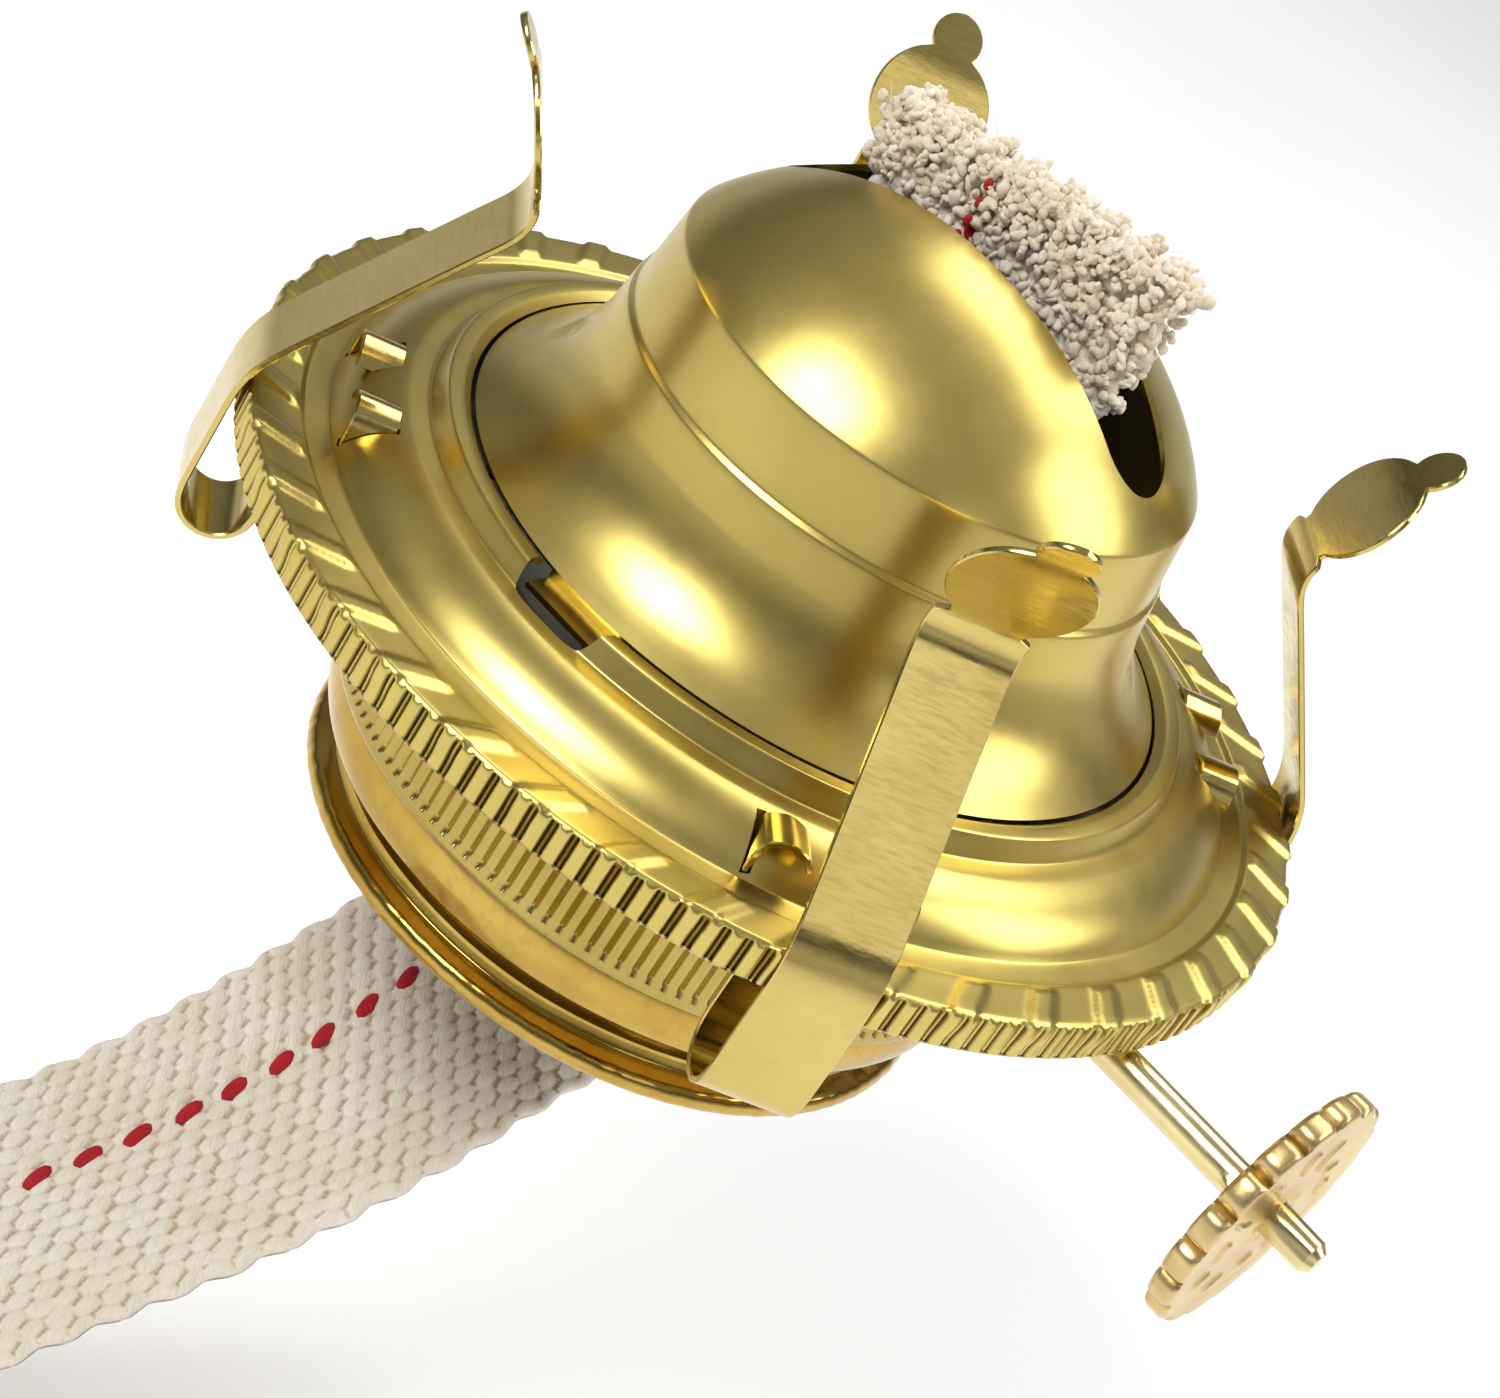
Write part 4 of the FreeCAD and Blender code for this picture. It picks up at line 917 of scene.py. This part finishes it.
def tape_surface(rails):
    """The woven tape as a grid of closed rings, with each point's loft and its place on the flat tape."""
    centres, level, through, _, along = rails
    flat = np.linspace(-1, 1, 224)
    thick = (1 - np.abs(flat) ** 9) ** 0.5
    u = np.concatenate([flat, flat[::-1][1:-1]])
    v = np.concatenate([thick, -thick[::-1][1:-1]])
    side = np.where(v >= 0, 1.0, -1.0)
    s = along[:, None]
    scallop = 0.26 * np.cos(TAU * s / STITCH) * np.abs(u) ** 8 * np.sign(u)
    uu = np.broadcast_to(u * (WICK_HALF - 0.35), (len(along), len(u)))
    height = yarn_height(uu + WICK_HALF + 0.4 + 0.16 * np.sin(s / 7), s + np.where(side > 0, 0, STITCH / 2))
    lift = (WICK_DEPTH - 0.48) * v + side * 0.52 * (height - 0.25) * (np.abs(v) ** 0.6)
    lift = lift + tail_wave(s, u * 2, u * 3)
    across = (uu + scallop)[..., None]
    points = centres[:, None] + level[:, None] * across + through[:, None] * lift[..., None]
    loft = np.where(np.abs(u) > 0.985, 0.7, height)
    places = np.stack([uu, np.broadcast_to(s, uu.shape), np.broadcast_to(side, uu.shape) * 50.0], 2)
    return points, loft, places


def make_wick():
    rails = wick_rails()
    points, loft, places = tape_surface(rails)
    piece = make_object("wick_tape", *closed_grid(points), COTTON, 180.0)
    loft = np.concatenate([loft.ravel(), [0.5, 0.5]])
    places = np.concatenate([places.reshape(-1, 3), places[0, :1], places[-1, :1]])
    attribute = piece.data.attributes.new("loft", "FLOAT", "POINT")
    attribute.data.foreach_set("value", loft.astype(np.float32))
    attribute = piece.data.attributes.new("tape", "FLOAT_VECTOR", "POINT")
    attribute.data.foreach_set("vector", places.ravel().astype(np.float32))
    use(piece, "wick", "cotton", "wick_upper", "wick_tail")
    stitches = make_stitches(rails)
    tufts = make_fray()
    hairs = make_hairs()


def capsule(centre, along, across, up, length, width, height):
    """A small plump stitch lying along a direction."""
    t = np.linspace(-1, 1, 9)
    radius = np.sqrt(np.clip(1 - t ** 2, 0, 1)) * 0.97 + 0.03
    angle = np.arange(12) * TAU / 12
    ring = np.stack([np.cos(angle), np.sin(angle)], 1)
    points = (centre + along * (t * length / 2)[:, None, None]
              + across * (radius[:, None] * ring[:, 0])[..., None] * width / 2
              + up * (radius[:, None] * ring[:, 1])[..., None] * height / 2)
    return closed_grid(points)


def wick_piece(name, shapes, look):
    """One smooth piece of several shapes that rides on the wick."""
    piece = joined(name, shapes, look, 180.0)
    use(piece, "wick", "cotton")
    return piece


def make_stitches(rails):
    """The red tracer stitches down both faces of the wick."""
    centres, level, through, ways, along = rails
    shapes = []
    own = np.random.default_rng(21)
    for side in (1, -1):
        for s in np.arange(1.2, along[-1] - 1.5, STITCH):
            i = int(np.argmin(np.abs(along - s)))
            offset = -3.1 + 1.5 * smoothstep(72.0, 130.0, s) + own.normal(0, 0.08)
            lift = (WICK_DEPTH - 0.22) * side + tail_wave(s, -0.5, -0.8)
            centre = centres[i] + level[i] * offset + through[i] * lift
            slant = own.normal(0.30, 0.06)
            way = ways[i] * math.cos(slant) + level[i] * math.sin(slant)
            across = np.cross(through[i], way)
            shapes.append(capsule(centre, way, across, through[i], 2.9 + own.normal(0, 0.12), 1.25, 0.9))
    return wick_piece("wick_tracer", shapes, RED)


# ---------------- frayed top
CORES = 300
TUFTS = 3000
HAIRS = 230
HAIR_RADIUS = 0.035
FRAY_FOOT = 58.6
TOP_DOTS = ((59.2, 1.95), (60.7, 2.2), (62.2, 2.2), (63.7, 2.2))  # heights, and distances from the middle


def ball():
    """Points and faces of a coarse unit ball."""
    polar = np.linspace(0.04, math.pi - 0.04, 7)
    angle = np.arange(10) * TAU / 10
    x = np.sin(polar)[:, None] * np.cos(angle)
    y = np.sin(polar)[:, None] * np.sin(angle)
    z = np.broadcast_to(np.cos(polar)[:, None], x.shape)
    return closed_grid(np.stack([x, y, z], 2))


def lumpy(points, shift, scale, seed):
    """The points moved in and out from their middle by noise."""
    return points * (1 + 0.3 * wave_noise(points + shift, scale, seed))[:, None]


def top_line(x):
    """Height of the frayed top edge across the wick."""
    left = 62.6 + 1.6 * smoothstep(-15.5, -13.0, x)
    rise = (x + 13.0) * 0.125 * smoothstep(-13, -10, x)
    return left + rise + 0.45 * np.sin(x * 1.9) + 0.3 * np.sin(x * 4.3)


def tuft_place(own):
    """A place for a tuft of loose cotton: on one of the faces, or all over near the top edge."""
    x = own.uniform(-13.9, 12.8)
    top = top_line(x)
    near_top = own.uniform() < 0.42
    if near_top:
        z = top - abs(own.normal(0, 0.8))
    else:
        z = own.uniform(FRAY_FOOT - 2.6 * smoothstep(4.0, 12.0, x), top)
    y = 1.15 + 0.85 * smoothstep(59.0, 62.5, z)
    if near_top:
        y *= own.uniform(-1, 1)
    else:
        y *= own.choice((-1, 1)) * own.uniform(0.7, 1.1)
    if x < -12.9 or x > 11.8:
        y *= 0.55
    return x, y, z


def make_fray():
    """The wick's frayed top: a core, tufts of loose cotton over it, and a few that stray sideways."""
    own = np.random.default_rng(33)
    shapes = []
    unit, faces = ball()
    for i in range(CORES):
        x = own.uniform(-13.0, 12.2)
        core = lumpy(unit * own.uniform(0.7, 1.0, 3), i * 2.3, 0.9, 60 + i % 20)
        shapes.append((core + (x, own.normal(0, 0.35), own.uniform(58.5, top_line(x) - 0.8)), faces))
    for i in range(TUFTS):
        place = tuft_place(own)
        size = own.uniform(0.20, 0.40)
        shape = unit * (size * own.uniform(0.75, 1.25, 3)) * (1.0, 1.0, own.uniform(1.0, 1.9))
        shape = lumpy(shape, i * 3.1, 0.7, 100 + i % 40)
        turn = Matrix.Rotation(own.uniform(0, TAU), 3, Vector(own.normal(size=3)).normalized())
        shapes.append((shape @ np.array(turn).T + place, faces))
    for x, z in ((12.9, 66.4), (13.4, 66.9), (13.9, 67.2), (-14.2, 62.0), (-14.7, 61.7), (-15.3, 62.4)):
        stray = lumpy(unit * own.uniform(0.35, 0.6, 3), x, 0.9, 5)
        shapes.append((stray + (x, 0, z), faces))
    piece = wick_piece("wick_fray", shapes, FRAY)
    make_top_dots(own)
    return piece


def make_top_dots(own):
    """What shows of the tracer stitches between the tufts."""
    x_way, y_way, z_way = np.eye(3)
    dots = []
    for z, depth in TOP_DOTS:
        for side in (1, -1):
            centre = np.array([-3.5 + own.normal(0, 0.15), side * depth, z])
            dots.append(capsule(centre, z_way, x_way, y_way, 1.0, 0.62, 0.6))
    wick_piece("wick_tracer_top", dots, RED)


def make_hairs():
    """Loose fibres round the frayed top."""
    own = np.random.default_rng(44)
    shapes = []
    for _ in range(HAIRS):
        x = own.uniform(-14.5, 13.0)
        start = np.array([x, own.uniform(-1.6, 1.6), top_line(x) - own.uniform(0.3, 3.0)])
        way = np.array([own.normal(0, 0.7), own.normal(0, 0.8), own.uniform(0.1, 1.1)])
        way /= np.linalg.norm(way)
        bend = own.normal(size=3) * 0.5
        length = own.uniform(1.0, 2.9)
        t = np.linspace(0, 1, 7)[:, None]
        line = start + way * t * length + bend * t ** 2 * length * 0.6
        across = np.cross(way, own.normal(size=3))
        across /= np.linalg.norm(across)
        angle = np.arange(3) * TAU / 3
        ring = np.outer(np.cos(angle), across) + np.outer(np.sin(angle), np.cross(way, across))
        shapes.append(closed_grid(line[:, None] + ring * HAIR_RADIUS * (1 - 0.6 * t[..., None])))
    return wick_piece("wick_hairs", shapes, FRAY)


# ---------------- the rest of the CAD
KEPT_LOOKS = {"screw_shell": POLISHED, "air_plate": GREY_PLATE, "shaft_bush": PALE}
KEPT_LOOKS.update(dict.fromkeys((
    "drip_plate", "bearing_lug_1", "bearing_lug_2", "wick_tube", "vent_tube",
    "wick_wheel_1", "wick_wheel_2", "wick_wheel_3", "wick_wheel_4"), STEEL))


def dress_kept_nodes():
    """Gives every CAD node a look. Those that a piece stands for aren't seen."""
    for name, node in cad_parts.items():
        look = KEPT_LOOKS.get(name, POLISHED)
        if not node.material_slots:
            node.data.materials.append(look)
        for material_slot in node.material_slots:
            material_slot.material = look


# ---------------- stage
FLOOR_HALF = 2500.0
FLOOR_GAP = 1.2  # below the wick's tail


def make_floor():
    level = cad_box("wick_tail")[0, 2] - FLOOR_GAP
    corners = ((-1, -1), (1, -1), (1, 1), (-1, 1))
    mesh = bpy.data.meshes.new("floor")
    mesh.from_pydata([(x * FLOOR_HALF * MM, y * FLOOR_HALF * MM, level * MM) for x, y in corners], [],
                     [(0, 1, 2, 3)])
    mesh.materials.append(floor_look())
    linked("floor", mesh)


def softbox(name, place, size, power):
    """A rectangular area light, in metres and watts, that looks at the burner."""
    light = bpy.data.lights.new(name, "AREA")
    light.shape = "RECTANGLE"
    light.size, light.size_y = size
    light.energy = power
    thing = linked(name, light)
    thing.location = place
    way = Vector((0.0, 0.0, 0.02)) - Vector(place)
    thing.rotation_euler = way.to_track_quat("-Z", "Y").to_euler()


def make_world():
    """A grey studio, darkest a little above the horizon."""
    world = bpy.data.worlds.new("studio")
    bpy.context.scene.world = world
    world.use_nodes = True
    tree = world.node_tree
    kinds = ("ShaderNodeTexCoord", "ShaderNodeSeparateXYZ", "ShaderNodeValToRGB")
    place, parts, ramp = (tree.nodes.new(kind) for kind in kinds)
    first, last = ramp.color_ramp.elements
    first.position, first.color = 0.06, (0.60, 0.60, 0.60, 1)
    last.position, last.color = 0.75, (0.34, 0.34, 0.34, 1)
    ramp.color_ramp.elements.new(0.22).color = (0.10, 0.10, 0.10, 1)
    tree.links.new(place.outputs["Generated"], parts.inputs["Vector"])
    tree.links.new(parts.outputs["Z"], ramp.inputs["Fac"])
    tree.links.new(ramp.outputs["Color"], tree.nodes["Background"].inputs["Color"])


def make_light():
    make_world()
    bpy.context.scene.view_settings.view_transform = "Standard"
    softbox("key_light", (-0.14, -0.52, 0.62), (0.38, 0.34), 4.2)
    softbox("fill_light", (0.50, 0.30, 0.45), (0.30, 0.40), 1.8)
    softbox("back_light", (0.0, 0.36, 0.62), (0.60, 0.30), 2.5)
    softbox("side_light", (0.47, -0.21, 0.33), (0.16, 0.22), 0.11)


def make_camera():
    """A camera at the photograph's angle, with the object rolled in it as it is there."""
    right = Vector((0.6517, 0.5884, 0.4787))
    up = Vector((-0.6711, 0.1532, 0.7254))
    back = Vector((0.3535, -0.7939, 0.4947))
    camera = bpy.data.cameras.new("camera")
    camera.lens = 84.0
    camera.sensor_width = 36.0
    camera.clip_start = 0.01
    thing = linked("camera", camera)
    place = Vector((94.6, -208.5, 149.3)) * MM
    turn = Matrix((right, up, back)).transposed().to_4x4()
    thing.matrix_world = Matrix.Translation(place) @ turn
    bpy.context.scene.camera = thing


make_camera()
make_light()
make_floor()
dress_kept_nodes()
make_gallery()
make_dome()
make_prongs()
make_collar()
make_body()
make_shaft()
make_thumb_wheel()
make_wick()
